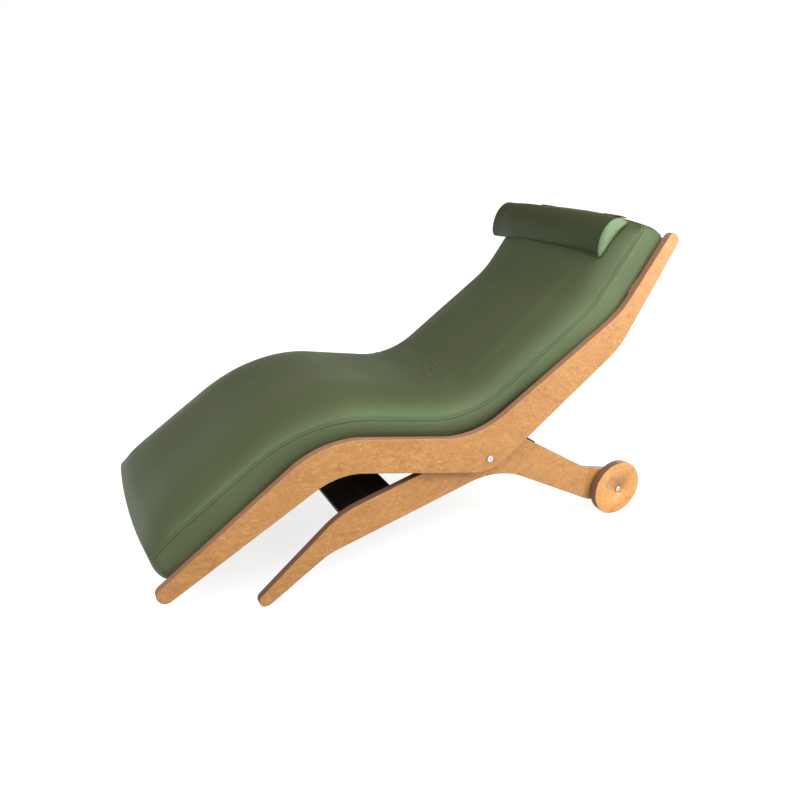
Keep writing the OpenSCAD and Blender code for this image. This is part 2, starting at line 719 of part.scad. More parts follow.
// Base plate on the right
module base_plate() {
    difference() {
        across(plate_in, plate_out) polygon(plate_outline);
        round_across([0, 0], plate_in - cut, plate_out + cut, pivot_d / 2 + hole_fit);
        round_across(hub_at, plate_in - cut, plate_out + cut, axle_d / 2 + hole_fit);
        for (p = concat(panel_dowel_at, beam_dowel_at))
            round_across(p, plate_in - cut, plate_in + dowel_in_side + dowel_end_gap,
                dowel_r + hole_fit);
    }
}
module base_plate_left() {
    color("burlywood") stand() mirror([0, 1, 0]) base_plate();
}
module base_plate_right() {
    color("burlywood") stand() base_plate();
}
module cross_panel() {
    color("black") stand() difference() {
        across(lie_gap - plate_in, plate_in - lie_gap)
            polygon(bar(panel_row[0], panel_row[1], panel_w, -panel_t / 2, panel_t / 2));
        pegs(panel_dowel_at, plate_in, dowel_in_cross + dowel_end_gap, cut, dowel_r + hole_fit);
    }
}
module spreader_beam() {
    color("burlywood") stand() difference() {
        across(lie_gap - plate_in, plate_in - lie_gap)
            polygon(bar(beam_at, 0, beam_t, -beam_h / 2, beam_h / 2));
        pegs(beam_dowel_at, plate_in, dowel_in_cross + dowel_end_gap, cut, dowel_r + hole_fit);
    }
}
module base_dowels() {
    color("peru") stand() pegs(concat(panel_dowel_at, beam_dowel_at), plate_in,
        dowel_in_cross, dowel_in_side, dowel_r);
}
// Rubber pads on the plates' upper edges
module stop_pads(at, a) {
    both_sides() across(plate_in, plate_out)
        polygon(bar(at, a, stop_pad_len, lie_gap, lie_gap + stop_pad_t));
}
module front_stop_pads() {
    color("dimgray") stand() stop_pads(front_stop_at, bridge_angle);
}
module rear_stop_pads() {
    color("dimgray") stand() stop_pads(rear_stop_at, arm_angle);
}

// Bolt on the right with a round head and a hexagon socket, its thread end inside
module bolt(at, from, face, d, head_d) {
    round_across(at, from, face + lie_gap + cut / 2, d / 2);
    translate([at[0], face + lie_gap, at[1]]) rotate([-90, 0, 0]) difference() {
        rotate_extrude() polygon([[0, 0], [head_d / 2, 0], [head_d / 2, head_t - head_edge],
            [head_d / 2 - head_edge, head_t], [0, head_t]]);
        translate([0, 0, head_t - socket_deep])
            cylinder(d = socket_af / cos(30), h = socket_deep + cut, $fn = 6);
    }
}
// Flanged nut on the right, against the inner face of the plate
module nut(at, face, d) {
    difference() {
        union() {
            round_across(at, face - lie_gap - flange_t, face - lie_gap, d / 2 + flange_wall);
            translate([at[0], face - lie_gap, at[1]]) rotate([90, 0, 0])
                cylinder(r = d * nut_share / 2 / cos(30), h = nut_t, $fn = 6);
        }
        round_across(at, face - lie_gap - nut_t - cut, face + cut, d / 2 + hole_fit);
    }
}
// Spacer on the right, between two faces and fixed to the plate
module spacer(at, from, to, d) {
    difference() {
        round_across(at, from, to, spacer_r);
        round_across(at, from - cut, to + cut, d / 2 + hole_fit);
    }
}
nut_reach = plate_in - lie_gap - nut_t - bolt_over;
module pivot_bolts() {
    color("silver") stand() both_sides() bolt([0, 0], nut_reach, rail_out, pivot_d, pivot_head_d);
}
module pivot_spacers() {
    color("dimgray") stand() both_sides()
        spacer([0, 0], plate_out + lie_gap, rail_in - lie_gap, pivot_d);
}
module pivot_nuts() {
    color("silver") stand() both_sides() nut([0, 0], plate_in, pivot_d);
}
module axle_bolts() {
    color("silver") stand() both_sides() bolt(hub_at, nut_reach, wheel_out, axle_d, axle_head_d);
}
module axle_spacers() {
    color("dimgray") stand() both_sides()
        spacer(hub_at, plate_out + lie_gap, wheel_in - lie_gap, axle_d);
}
module axle_nuts() {
    color("silver") stand() both_sides() nut(hub_at, plate_in, axle_d);
}

// Wheel on the right: a plywood disc with eased edges
module wheel() {
    bore = axle_d / 2 + bush_wall + hole_fit;
    translate([hub_at[0], wheel_in, hub_at[1]]) rotate([-90, 0, 0])
        rotate_extrude($fn = 96) polygon([[bore, 0], [wheel_r - wheel_edge, 0], [wheel_r, wheel_edge],
            [wheel_r, wheel_t - wheel_edge], [wheel_r - wheel_edge, wheel_t], [bore, wheel_t]]);
}
module wheel_left() {
    color("burlywood") stand() mirror([0, 1, 0]) wheel();
}
module wheel_right() {
    color("burlywood") stand() wheel();
}
module wheel_bush_left() {
    color("dimgray") stand() mirror([0, 1, 0]) bush(hub_at, wheel_in, wheel_out, axle_d);
}
module wheel_bush_right() {
    color("dimgray") stand() bush(hub_at, wheel_in, wheel_out, axle_d);
}

side_rail_left();
side_rail_right();
ledger_left();
ledger_right();
calf_slats();
seat_slats();
back_slats();
head_slats();
foot_cross_rail();
front_stop_rail();
rear_stop_rail();
head_cross_rail();
seat_dowels();
pivot_bushes();
mattress_cover();
mattress_foam();
pillow_cover();
pillow_filling();
pillow_strap_left();
pillow_strap_right();
base_plate_left();
base_plate_right();
cross_panel();
spreader_beam();
base_dowels();
front_stop_pads();
rear_stop_pads();
pivot_bolts();
pivot_spacers();
pivot_nuts();
axle_bolts();
axle_spacers();
axle_nuts();
wheel_left();
wheel_right();
wheel_bush_left();
wheel_bush_right();
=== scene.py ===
"""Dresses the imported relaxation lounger: lacquered plywood, padded leatherette, pillow and bolts.

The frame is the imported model's: X from the feet to the head, Y across, Z up, the floor is Z = 0.
Sizes and outlines are in millimetres, as in the CAD source, and become metres in world().
Outlines lie in the side plane of the tilt pivot, and "left" is -Y.
"""

import json
import math

import bmesh
import bpy
import numpy as np
from mathutils import Matrix, Vector, noise

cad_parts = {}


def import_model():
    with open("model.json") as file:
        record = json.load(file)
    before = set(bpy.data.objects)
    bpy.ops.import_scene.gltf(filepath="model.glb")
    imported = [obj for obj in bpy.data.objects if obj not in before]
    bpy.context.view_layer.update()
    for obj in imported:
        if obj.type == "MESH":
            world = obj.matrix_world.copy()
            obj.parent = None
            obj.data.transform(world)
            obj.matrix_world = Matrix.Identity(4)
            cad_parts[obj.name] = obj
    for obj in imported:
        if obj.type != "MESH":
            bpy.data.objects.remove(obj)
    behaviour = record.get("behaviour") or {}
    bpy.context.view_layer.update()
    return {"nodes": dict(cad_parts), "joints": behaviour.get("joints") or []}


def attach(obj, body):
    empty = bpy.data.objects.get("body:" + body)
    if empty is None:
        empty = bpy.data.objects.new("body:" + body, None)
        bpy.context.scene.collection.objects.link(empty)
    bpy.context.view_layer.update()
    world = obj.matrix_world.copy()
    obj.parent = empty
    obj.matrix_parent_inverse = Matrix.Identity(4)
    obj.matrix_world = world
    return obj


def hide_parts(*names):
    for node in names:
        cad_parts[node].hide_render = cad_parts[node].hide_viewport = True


MM = 0.001

# Driving sizes, in millimetres
BAY_W, RAIL_T, PLATE_T, PLATE_GAP = 650, 25, 25, 3
CALF_LEN, CALF_ANGLE = 629, 35
SEAT_LEN, SEAT_FALL = 514, 11
BACK_LEN, BACK_ANGLE = 638, 32.3
HEAD_LEN, HEAD_ANGLE = 311, 54
KNEE_R, HIP_R, SHOULDER_R = 305, 300, 300
TOE_DEPTH, KNEE_DEPTH, HIP_DEPTH, SHOULDER_DEPTH, HEAD_DEPTH = 50, 119, 117, 103, 48
SEAT_FRONT_DEPTH, BACK_LOW_DEPTH, HEAD_LOW_DEPTH = 104, 141, 71
LOW_KNEE_R, LOW_HIP_R, LOW_SHOULDER_R = 220, 160, 270
HIP_SET, HIP_RISE = 47, 79
END_ROUND = 0.48
WHEEL_REACH, FOOT_REACH, FOOT_R, FOOT_FLAT, HUB_R = 552, 750, 22, 1, 60
BEND_SET, BEND_DROP, BEND_LEAN, BEND_DEPTH = 525, 150.5, 18.8, 136
CROWN_SET, CROWN_RISE, CROWN_LEAN, CROWN_DEPTH = 72.5, 6, 15, 134
NECK_SET, NECK_RISE, NECK_LEAN, NECK_DEPTH = 120, 32, -8.3, 130
BEND_UP_R, BEND_LOW_R, CROWN_UP_R, CROWN_LOW_R, NECK_UP_R, NECK_LOW_R = 285, 170, 190, 286, 90, 90
WHEEL_R, WHEEL_T, WHEEL_GAP, WHEEL_BORE_R = 100, 27, 5, 7.1
BED_TOE, BED_KNEE, BED_HIP, BED_SHOULDER, BED_TIP = (46, 9), (-12, 40), (18, 40), (-55, 21), (-19, 5)
BED_RADII = (0, 380, 440, 480, 0)
MATTRESS_H, MATTRESS_CROWN, CROWN_MORE, CROWN_STEP, CROWN_FADE = 95, 38, 21, 300, 150
MATTRESS_GAP, SEAM_SHARE = 1, 0.985
PILLOW_LEN, PILLOW_W, PILLOW_H, PILLOW_AT, PILLOW_SHIFT, PILLOW_TURN = 633.75, 146, 60, 164, 32, -1
STRAP_W, STRAP_SHARE = 55, 0.55
EASE, EASE_STEPS = 2.2, 5
ARC_STEP = 2.0


# Plane geometry, in millimetres
def heading(a):
    """Unit vector along bearing a, in degrees."""
    return np.array([math.cos(math.radians(a)), math.sin(math.radians(a))])


def square_to(a):
    """Unit vector square to bearing a, on its left."""
    return np.array([-math.sin(math.radians(a)), math.cos(math.radians(a))])


def lean(a):
    """Unit vector at a lean of a degrees from the vertical."""
    return np.array([math.sin(math.radians(a)), math.cos(math.radians(a))])


def off(p, a, along, below):
    """A point along bearing a from p, and square below that line."""
    return p + heading(a) * along - square_to(a) * below


def bearing(p, q):
    return math.degrees(math.atan2(q[1] - p[1], q[0] - p[0]))


def wrap(a):
    return a - 360 * math.floor((a + 180) / 360)


def clamp(x, low=0.0, high=1.0):
    return max(low, min(high, x))


def bell(x):
    return math.exp(-(x ** 2))


def wave(*place):
    """Smooth noise round zero."""
    return noise.noise(Vector(place))


def unit(rows):
    return rows / np.linalg.norm(rows, axis=1)[:, None]


def left_of(rows):
    return np.stack([-rows[:, 1], rows[:, 0]], 1)


def meet(p, p2, q, q2):
    """Where the line p p2 meets the line q q2."""
    a, b = p2 - p, q2 - q
    cross = a[0] * b[1] - a[1] * b[0]
    c = q - p
    return p + a * (c[0] * b[1] - c[1] * b[0]) / cross


def touch(p, mid, r, side):
    """Bearing, from a circle's centre, of the point where a tangent from p touches it."""
    return bearing(mid, p) + side * math.degrees(math.acos(r / np.linalg.norm(mid - p)))


def rim(mid, r, start, end):
    """Rows of an arc round mid, anticlockwise from one bearing to another."""
    sweep = wrap(end - start - 180) + 180
    n = math.ceil(sweep / ARC_STEP)
    return [(mid + r * heading(start + sweep * i / n), 0) for i in range(n + 1)]


def outline(rows):
    """Closed outline from rows of corner point and radius."""
    points = []
    for i, (b, r) in enumerate(rows):
        p, q = rows[i - 1][0], rows[(i + 1) % len(rows)][0]
        if r == 0:
            points.append(b)
            continue
        a = bearing(p, b)
        turn = wrap(bearing(b, q) - a)
        side = math.copysign(1, turn)
        n = max(2, math.ceil(abs(turn) / ARC_STEP))
        mid = b - heading(a) * r * math.tan(math.radians(abs(turn) / 2)) + square_to(a) * r * side
        points += [mid - square_to(a + turn * k / n) * r * side for k in range(n + 1)]
    return np.array(points)


class Path:
    """A path of straights and bends through corner points."""

    def __init__(self, points, radii):
        self.parts = []
        cuts = [0.0] * len(points)
        turns = [0.0] * len(points)
        for i in range(1, len(points) - 1):
            turns[i] = wrap(bearing(points[i], points[i + 1]) - bearing(points[i - 1], points[i]))
            cuts[i] = radii[i] * math.tan(math.radians(abs(turns[i]) / 2))
        for i in range(len(points) - 1):
            a = bearing(points[i], points[i + 1])
            straight = np.linalg.norm(points[i + 1] - points[i]) - cuts[i] - cuts[i + 1]
            self.parts.append((points[i] + heading(a) * cuts[i], a, straight, 0.0))
            if i < len(points) - 2:
                turn = turns[i + 1]
                arc = radii[i + 1] * math.radians(abs(turn))
                self.parts.append((points[i + 1] - heading(a) * cuts[i + 1], a, arc, turn))
        self.length = sum(p[2] for p in self.parts)

    def at(self, s):
        """Point and bearing at distance s; the end straights run on."""
        for k, (start, a, length, turn) in enumerate(self.parts):
            if s <= length or k == len(self.parts) - 1:
                break
            s -= length
        if turn == 0:
            return start + heading(a) * s, a
        side = math.copysign(1, turn)
        r = length / math.radians(abs(turn))
        b = a + turn * s / length
        return start + square_to(a) * r * side - square_to(b) * r * side, b

    def beside(self, s, h):
        p, a = self.at(s)
        return p + square_to(a) * h

    def start_of(self, k):
        return sum(p[2] for p in self.parts[:k])


# The frame and its outlines
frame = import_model()
joints = {j["name"]: j for j in frame["joints"]}
PIVOT = Vector(joints["seat_tilt"]["pos_m"])
PIVOT_H = PIVOT.z / MM
NODES = frame["nodes"]

edge_hip = np.array([-HIP_SET, HIP_RISE], float)
edge_knee = edge_hip - heading(-SEAT_FALL) * SEAT_LEN
edge_toe = edge_knee - heading(CALF_ANGLE) * CALF_LEN
edge_shoulder = edge_hip + heading(BACK_ANGLE) * BACK_LEN
edge_tip = edge_shoulder + heading(HEAD_ANGLE) * HEAD_LEN
low_toe = off(edge_toe, CALF_ANGLE, 0, TOE_DEPTH)
low_tip = off(edge_tip, HEAD_ANGLE, 0, HEAD_DEPTH)
low_calf_rear = off(edge_knee, CALF_ANGLE, 0, KNEE_DEPTH)
low_seat_front = off(edge_knee, -SEAT_FALL, 0, SEAT_FRONT_DEPTH)
low_seat_rear = off(edge_hip, -SEAT_FALL, 0, HIP_DEPTH)
low_back_front = off(edge_hip, BACK_ANGLE, 0, BACK_LOW_DEPTH)
low_back_rear = off(edge_shoulder, BACK_ANGLE, 0, SHOULDER_DEPTH)
low_head_front = off(edge_shoulder, HEAD_ANGLE, 0, HEAD_LOW_DEPTH)
rail_outline = outline([
    (edge_toe, TOE_DEPTH * END_ROUND),
    (low_toe, TOE_DEPTH * END_ROUND),
    (meet(low_toe, low_calf_rear, low_seat_front, low_seat_rear), LOW_KNEE_R),
    (meet(low_seat_front, low_seat_rear, low_back_front, low_back_rear), LOW_HIP_R),
    (meet(low_back_front, low_back_rear, low_head_front, low_tip), LOW_SHOULDER_R),
    (low_tip, HEAD_DEPTH * END_ROUND),
    (edge_tip, HEAD_DEPTH * END_ROUND),
    (edge_shoulder, SHOULDER_R),
    (edge_hip, HIP_R),
    (edge_knee, KNEE_R),
])

foot_at = np.array([-FOOT_REACH, FOOT_R - FOOT_FLAT - PIVOT_H], float)
hub_at = np.array([WHEEL_REACH, WHEEL_R - PIVOT_H], float)
bend_at = np.array([-BEND_SET, -BEND_DROP], float)
crown_mid = np.array([CROWN_SET, CROWN_RISE], float)
neck_at = hub_at + [-NECK_SET, NECK_RISE]
bend_up, bend_low = (bend_at + k * lean(BEND_LEAN) * BEND_DEPTH / 2 for k in (1, -1))
crown_up, crown_low = (crown_mid + k * lean(CROWN_LEAN) * CROWN_DEPTH / 2 for k in (1, -1))
neck_up, neck_low = (neck_at + k * lean(NECK_LEAN) * NECK_DEPTH / 2 for k in (1, -1))
plate_outline = outline(
    [(bend_low, BEND_LOW_R), (crown_low, CROWN_LOW_R), (neck_low, NECK_LOW_R)]
    + rim(hub_at, HUB_R, touch(neck_low, hub_at, HUB_R, 1), touch(neck_up, hub_at, HUB_R, -1))
    + [(neck_up, NECK_UP_R), (crown_up, CROWN_UP_R), (bend_up, BEND_UP_R)]
    + rim(foot_at, FOOT_R, touch(bend_up, foot_at, FOOT_R, 1), touch(bend_low, foot_at, FOOT_R, -1))
)
plate_outline[:, 1] = np.maximum(plate_outline[:, 1], -PIVOT_H)

# The bed surface on which the mattress lies
bed_points = [
    off(edge_toe, CALF_ANGLE, *BED_TOE), off(edge_knee, -SEAT_FALL, *BED_KNEE), off(edge_hip, -SEAT_FALL, *BED_HIP),
    off(edge_shoulder, BACK_ANGLE, *BED_SHOULDER), off(edge_tip, HEAD_ANGLE, *BED_TIP),
]
bed = Path(bed_points, BED_RADII)
hip_mark = bed.start_of(3) + bed.parts[3][2] / 2
shoulder_mark = bed.start_of(5) + bed.parts[5][2] / 2

RAIL_IN = BAY_W / 2
RAIL_OUT = RAIL_IN + RAIL_T
PLATE_OUT = RAIL_IN - PLATE_GAP
PLATE_IN = PLATE_OUT - PLATE_T
WHEEL_IN = PLATE_OUT + WHEEL_GAP
MATTRESS_HALF = RAIL_IN - MATTRESS_GAP


def world(p, y):
    """A point of the pivot's side plane, at y across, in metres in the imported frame."""
    return Vector((PIVOT.x + p[0] * MM, y * MM, PIVOT.z + p[1] * MM))


# Materials
class Nodes:
    """A small builder of shader nodes."""

    def __init__(self, tree):
        self.nodes, self.links = tree.nodes, tree.links

    def feed(self, socket, value):
        """Links a node's output to a socket, or sets its value."""
        if isinstance(value, bpy.types.NodeSocket):
            self.links.new(value, socket)
        else:
            socket.default_value = value

    def node(self, kind, inputs=None, **fields):
        made = self.nodes.new("ShaderNode" + kind)
        for field, value in fields.items():
            setattr(made, field, value)
        for name, value in (inputs or {}).items():
            self.feed(made.inputs[name], value)
        return made

    def ramp(self, value, *stops):
        """Colour ramp; each stop is a place and a colour or a grey."""
        made = self.node("ValToRGB", {"Fac": value})
        ramp = made.color_ramp
        while len(ramp.elements) < len(stops):
            ramp.elements.new(0.5)
        for element, (place, colour) in zip(ramp.elements, stops):
            element.position = place
            element.color = (*colour, 1) if isinstance(colour, tuple) else (colour, colour, colour, 1)
        return made.outputs["Color"]

    def mix(self, share, a, b):
        made = self.node("Mix", data_type="RGBA")
        for place, value in ((0, share), (6, a), (7, b)):
            self.feed(made.inputs[place], (*value, 1) if isinstance(value, tuple) else value)
        return made.outputs[2]

    def math(self, operation, a, b=0):
        made = self.node("Math", operation=operation)
        for socket, value in zip(made.inputs, (a, b)):
            self.feed(socket, value)
        return made.outputs[0]

    def seen(self):
        """1 for the rays that show the background: the camera's, and those by way of gloss or glass."""
        rays = self.node("LightPath").outputs
        by_way = self.math("MAXIMUM", rays["Is Glossy Ray"], rays["Is Transmission Ray"])
        return self.math("MAXIMUM", rays["Is Camera Ray"], by_way)


class Shader(Nodes):
    """A material on object coordinates that may be turned, in degrees."""

    def __init__(self, name, turn=(0, 0, 0), **sockets):
        self.material = bpy.data.materials.new(name)
        self.material.use_nodes = True
        super().__init__(self.material.node_tree)
        self.bsdf = self.nodes["Principled BSDF"]
        self.coords = self.node("TexCoord").outputs["Object"]
        self.turn = tuple(math.radians(a) for a in turn)
        for socket, value in sockets.items():
            self.bsdf.inputs[socket.replace("_", " ").title().replace("Ior", "IOR")].default_value = value

    def noise(self, scale, detail=4, roughness=0.55, distortion=0.0):
        """Noise of a given frequency along each turned axis, in cycles per metre."""
        turned = self.node("Mapping", {"Vector": self.coords, "Rotation": self.turn})
        mapped = self.node("Mapping", {"Vector": turned.outputs[0], "Scale": scale}).outputs[0]
        return self.node("TexNoise", {
            "Vector": mapped, "Scale": 1.0, "Detail": detail, "Roughness": roughness, "Distortion": distortion,
        }).outputs["Fac"]

    def finish(self, colour, roughness, height, strength, distance):
        """Links colour, roughness and a bump height to the surface."""
        bump = self.node("Bump", {"Height": height, "Strength": strength, "Distance": distance})
        for name, value in (("Base Color", colour), ("Roughness", roughness), ("Normal", bump.outputs[0])):
            self.feed(self.bsdf.inputs[name], value)
        return self.material


def toned(tone, colour):
    return tuple(tone * c for c in colour)


def plywood_face(name, turn, tone=1.0):
    """Lacquered birch veneer: warm ground, soft grain, mottled curly figure and small brown flecks."""
    s = Shader(name, (0, turn, 0), specular_ior_level=0.35, coat_weight=0.15, coat_roughness=0.25)
    grain = s.noise((11, 5, 38), 9, 0.70, 2.0)
    mottle = s.noise((40, 20, 52), 6, 0.68, 1.8)
    curl = s.noise((15, 6, 27), 6, 0.62, 2.6)
    broad = s.noise((2.6, 1, 4.2), 3, 0.5, 1.2)
    ground = s.ramp(grain, (0.30, toned(tone, (0.47, 0.200, 0.053))), (0.52, toned(tone, (0.61, 0.280, 0.082))),
                    (0.74, toned(tone, (0.70, 0.345, 0.112))))
    warm = s.mix(s.ramp(broad, (0.36, 0.0), (0.68, 0.5)), ground, toned(tone, (0.66, 0.325, 0.110)))
    mottled = s.mix(s.ramp(mottle, (0.40, 0.0), (0.66, 0.55)), warm, toned(tone, (0.47, 0.205, 0.056)))
    figured = s.mix(s.ramp(curl, (0.54, 0.0), (0.70, 0.72)), mottled, toned(tone, (0.38, 0.150, 0.040)))
    fleck = s.ramp(s.noise((190, 80, 330), 2, 0.5), (0.56, 0.0), (0.66, 0.85))
    patch = s.noise((8, 4, 14), 3, 0.55)
    flecked = s.math("MULTIPLY", fleck, s.ramp(patch, (0.50, 0.12), (0.64, 1.0)))
    bright = s.ramp(s.noise((70, 30, 120), 3, 0.6, 0.8), (0.54, 0.0), (0.66, 0.70))
    brightened = s.math("MULTIPLY", bright, s.ramp(patch, (0.40, 1.0), (0.60, 0.25)))
    lit = s.mix(brightened, figured, toned(tone, (0.80, 0.44, 0.155)))
    colour = s.mix(flecked, lit, (0.25, 0.085, 0.025))
    rough = s.ramp(grain, (0.3, 0.44), (0.75, 0.36))
    return s.finish(colour, rough, mottle, 0.10, 0.0006)


PLY_PAIR = 0.0028


def plywood_edge(name, tone=1.0):
    """Sanded and lacquered ply edge: thin plies across Y, one dark end grain and one long grain in turn."""
    s = Shader(name, specular_ior_level=0.35)
    y = s.node("SeparateXYZ", {"Vector": s.coords}).outputs["Y"]
    shifted = s.math("ADD", y, s.math("MULTIPLY", s.noise((5, 5, 5), 2), 0.0006))
    ply = s.math("FRACT", s.math("MULTIPLY", shifted, 1 / PLY_PAIR))
    band = s.ramp(ply, (0.0, 0.0), (0.42, 0.06), (0.52, 1.0), (0.94, 0.9), (1.0, 0.0))
    fibre = s.noise((90, 700, 90), 5, 0.65)
    light, deep = (s.ramp(fibre, (0.3, toned(tone, low)), (0.7, toned(tone, high))) for low, high in (
        ((0.235, 0.115, 0.072), (0.330, 0.175, 0.112)), ((0.150, 0.066, 0.042), (0.215, 0.103, 0.067))))
    height = s.math("ADD", s.math("MULTIPLY", fibre, 0.5), band)
    return s.finish(s.mix(band, light, deep), s.ramp(fibre, (0.3, 0.62), (0.7, 0.50)), height, 0.18, 0.0005)


def solid_wood(name, light, dark):
    """Plain sanded softwood or beech with long grain across the lounger."""
    s = Shader(name, specular_ior_level=0.35)
    grain = s.noise((60, 4, 60), 7, 0.6, 0.7)
    pores = s.noise((700, 30, 700), 2, 0.5)
    base = s.ramp(grain, (0.32, dark), (0.68, light))
    colour = s.mix(s.ramp(pores, (0.62, 0.0), (0.74, 0.35)), base, toned(0.6, dark))
    return s.finish(colour, s.ramp(grain, (0.3, 0.6), (0.7, 0.48)), grain, 0.15, 0.0006)


def leatherette(name, light, dark, rough=0.44, gloss=0.5, seam_shaded=False):
    """Soft coated upholstery: fine pebble grain, broad tone drift, a low even gloss and dark lines of painted shade
    along the seam grooves.
    """
    s = Shader(name, specular_ior_level=gloss, specular_tint=(0.58, 1.0, 0.64, 1))
    drift = s.noise((2.6, 2.6, 2.6), 3, 0.5)
    pebble = s.node("TexVoronoi", {"Vector": s.coords, "Scale": 620.0, "Randomness": 0.9}).outputs["Distance"]
    pores = s.node("TexNoise", {"Vector": s.coords, "Scale": 1500.0, "Detail": 2, "Roughness": 0.5}).outputs["Fac"]
    base = s.mix(s.ramp(drift, (0.34, 0.0), (0.68, 1.0)), dark, light)
    colour = s.mix(s.ramp(pebble, (0.35, 0.0), (0.75, 0.22)), base, toned(0.55, dark))
    if seam_shaded:
        # Painted shade: the seam attribute darkens the cover along the top seam and the stitch groove below it.
        line = s.node("Attribute", attribute_name="seam").outputs["Fac"]
        colour = s.mix(s.math("MULTIPLY", s.math("MINIMUM", line, 1.0), 0.7), colour, toned(0.2, dark))
    height = s.math("SUBTRACT", s.math("MULTIPLY", pores, 0.25), pebble)
    return s.finish(colour, s.ramp(drift, (0.3, rough + 0.05), (0.7, rough - 0.03)), height, 0.16, 0.0006)


def stained_panel(name):
    """Board with a black-brown stain and faint grain."""
    s = Shader(name, specular_ior_level=0.1)
    grain = s.noise((60, 5, 60), 6, 0.6, 0.4)
    colour = s.ramp(grain, (0.35, (0.0040, 0.0014, 0.0010)), (0.72, (0.0130, 0.0050, 0.0035)))
    return s.finish(colour, s.ramp(grain, (0.3, 0.55), (0.7, 0.42)), grain, 0.2, 0.0005)


def zinc(name):
    """Zinc-plated steel, finely grained and a little cloudy."""
    s = Shader(name, metallic=1.0)
    cloud = s.noise((60, 60, 60))
    fine = s.noise((900, 900, 900), 2)
    colour = s.ramp(cloud, (0.3, (0.46, 0.47, 0.48)), (0.7, (0.66, 0.67, 0.66)))
    return s.finish(colour, s.ramp(cloud, (0.3, 0.40), (0.7, 0.28)), fine, 0.08, 0.0003)


def moulded(name, colour, rough):
    """Rubber or moulded polymer with a fine matt texture."""
    s = Shader(name)
    cloud = s.noise((40, 40, 40))
    fine = s.noise((1100, 1100, 1100), 2)
    shade = s.ramp(cloud, (0.3, toned(0.75, colour)), (0.7, toned(1.2, colour)))
    return s.finish(shade, s.ramp(cloud, (0.3, rough), (0.7, rough - 0.08)), fine, 0.2, 0.0004)


# END_PAINTED_HIGHLIGHT brightens and cools the pillow's end panels: a painted highlight of the lamp light on them
GREEN_LIGHT, GREEN_DARK, END_PAINTED_HIGHLIGHT = (0.076, 0.084, 0.040), (0.061, 0.068, 0.031), (1.76, 2.1, 2.6)
rail_face = plywood_face("birch_face_rail", -14, 0.70)
plate_face = plywood_face("birch_face_plate", 8, 0.71)
wheel_face = plywood_face("birch_face_wheel", 24)
birch_edge = plywood_edge("birch_edge", 1.2)
wheel_edge = plywood_edge("birch_edge_wheel", 0.75)
plate_edge = plywood_edge("birch_edge_plate", 0.72)
rail_wood = solid_wood("birch_solid", (0.60, 0.34, 0.13), (0.46, 0.24, 0.085))
slat_wood = solid_wood("slat_wood", (0.66, 0.46, 0.24), (0.54, 0.34, 0.16))
dowel_wood = solid_wood("dowel_beech", (0.56, 0.33, 0.16), (0.44, 0.24, 0.11))
mattress_leather = leatherette("leatherette_mattress", GREEN_LIGHT, GREEN_DARK, 0.53, 0.52, seam_shaded=True)
# The pillow's and the straps' leather is a darker copy of the mattress's green: painted shade.
pillow_leather_painted_shade = leatherette("leatherette_pillow", toned(0.68, GREEN_LIGHT), toned(0.66, GREEN_DARK), 0.5, 0.26)
# The piping is a lighter copy of the green: a painted highlight along the round cords.
piping_leather_painted_highlight = leatherette("leatherette_piping_painted_highlight", toned(1.25, GREEN_LIGHT), GREEN_LIGHT)
end_leather_painted_highlight = leatherette("leatherette_pillow_end_painted_highlight", *(tuple(t * c for t, c in zip(END_PAINTED_HIGHLIGHT, green))
                                                      for green in (GREEN_LIGHT, GREEN_DARK)), 0.5, 0.6)
thread = leatherette("thread_green", (0.040, 0.062, 0.030), (0.028, 0.044, 0.022), 0.7)
dark_panel = stained_panel("dark_panel")
zinc_steel = zinc("zinc_steel")
stop_rubber = moulded("stop_rubber", (0.02, 0.02, 0.02), 0.75)
bush_plastic = moulded("bush_plastic", (0.045, 0.045, 0.045), 0.5)


def paint(material, *nodes):
    """Gives CAD nodes that stay their finished material."""
    for node in nodes:
        data = NODES[node].data
        data.materials.clear()
        data.materials.append(material)


paint(rail_wood, "ledger_left", "ledger_right", "foot_cross_rail", "front_stop_rail", "rear_stop_rail",
      "head_cross_rail", "spreader_beam")
paint(slat_wood, "calf_slats", "seat_slats", "back_slats", "head_slats")
paint(dowel_wood, "seat_dowels", "base_dowels")
paint(stop_rubber, "front_stop_pads", "rear_stop_pads")
paint(bush_plastic, "pivot_bushes", "pivot_spacers", "axle_spacers", "wheel_bush_left", "wheel_bush_right")
paint(zinc_steel, "pivot_bolts", "pivot_nuts", "axle_bolts", "axle_nuts")
paint(dark_panel, "cross_panel")


# Mesh helpers
def added(name, data):
    """An object with this data, in the scene."""
    made = bpy.data.objects.new(name, data)
    bpy.context.scene.collection.objects.link(made)
    return made


def make(name, points, faces, materials, smooth=True):
    """A mesh object from points in metres."""
    data = bpy.data.meshes.new(name)
    data.from_pydata([tuple(p) for p in points], [], faces)
    data.update()
    for m in materials:
        data.materials.append(m)
    piece = added(name, data)
    if smooth:
        data.shade_smooth()
    return piece


def skin(rows, sides, closed=False, capped=False):
    """Faces between rows of points, sides to a row; closed joins the last row to the first."""
    faces = []
    for r in range(rows if closed else rows - 1):
        a, b = r * sides, (r + 1) % rows * sides
        for k in range(sides):
            j = (k + 1) % sides
            faces.append([a + k, a + j, b + j, b + k])
    if capped:
        faces += [list(range(sides))[::-1], list(range((rows - 1) * sides, rows * sides))]
    return faces


def face_out(piece, flat_caps=False):
    """Turns every face outward; flat_caps keeps faces with many corners flat, with sharp edges."""
    b = bmesh.new()
    b.from_mesh(piece.data)
    bmesh.ops.recalc_face_normals(b, faces=b.faces)
    for f in b.faces:
        if flat_caps and len(f.verts) > 4:
            f.smooth = False
            for e in f.edges:
                e.smooth = False
    b.to_mesh(piece.data)
    b.free()


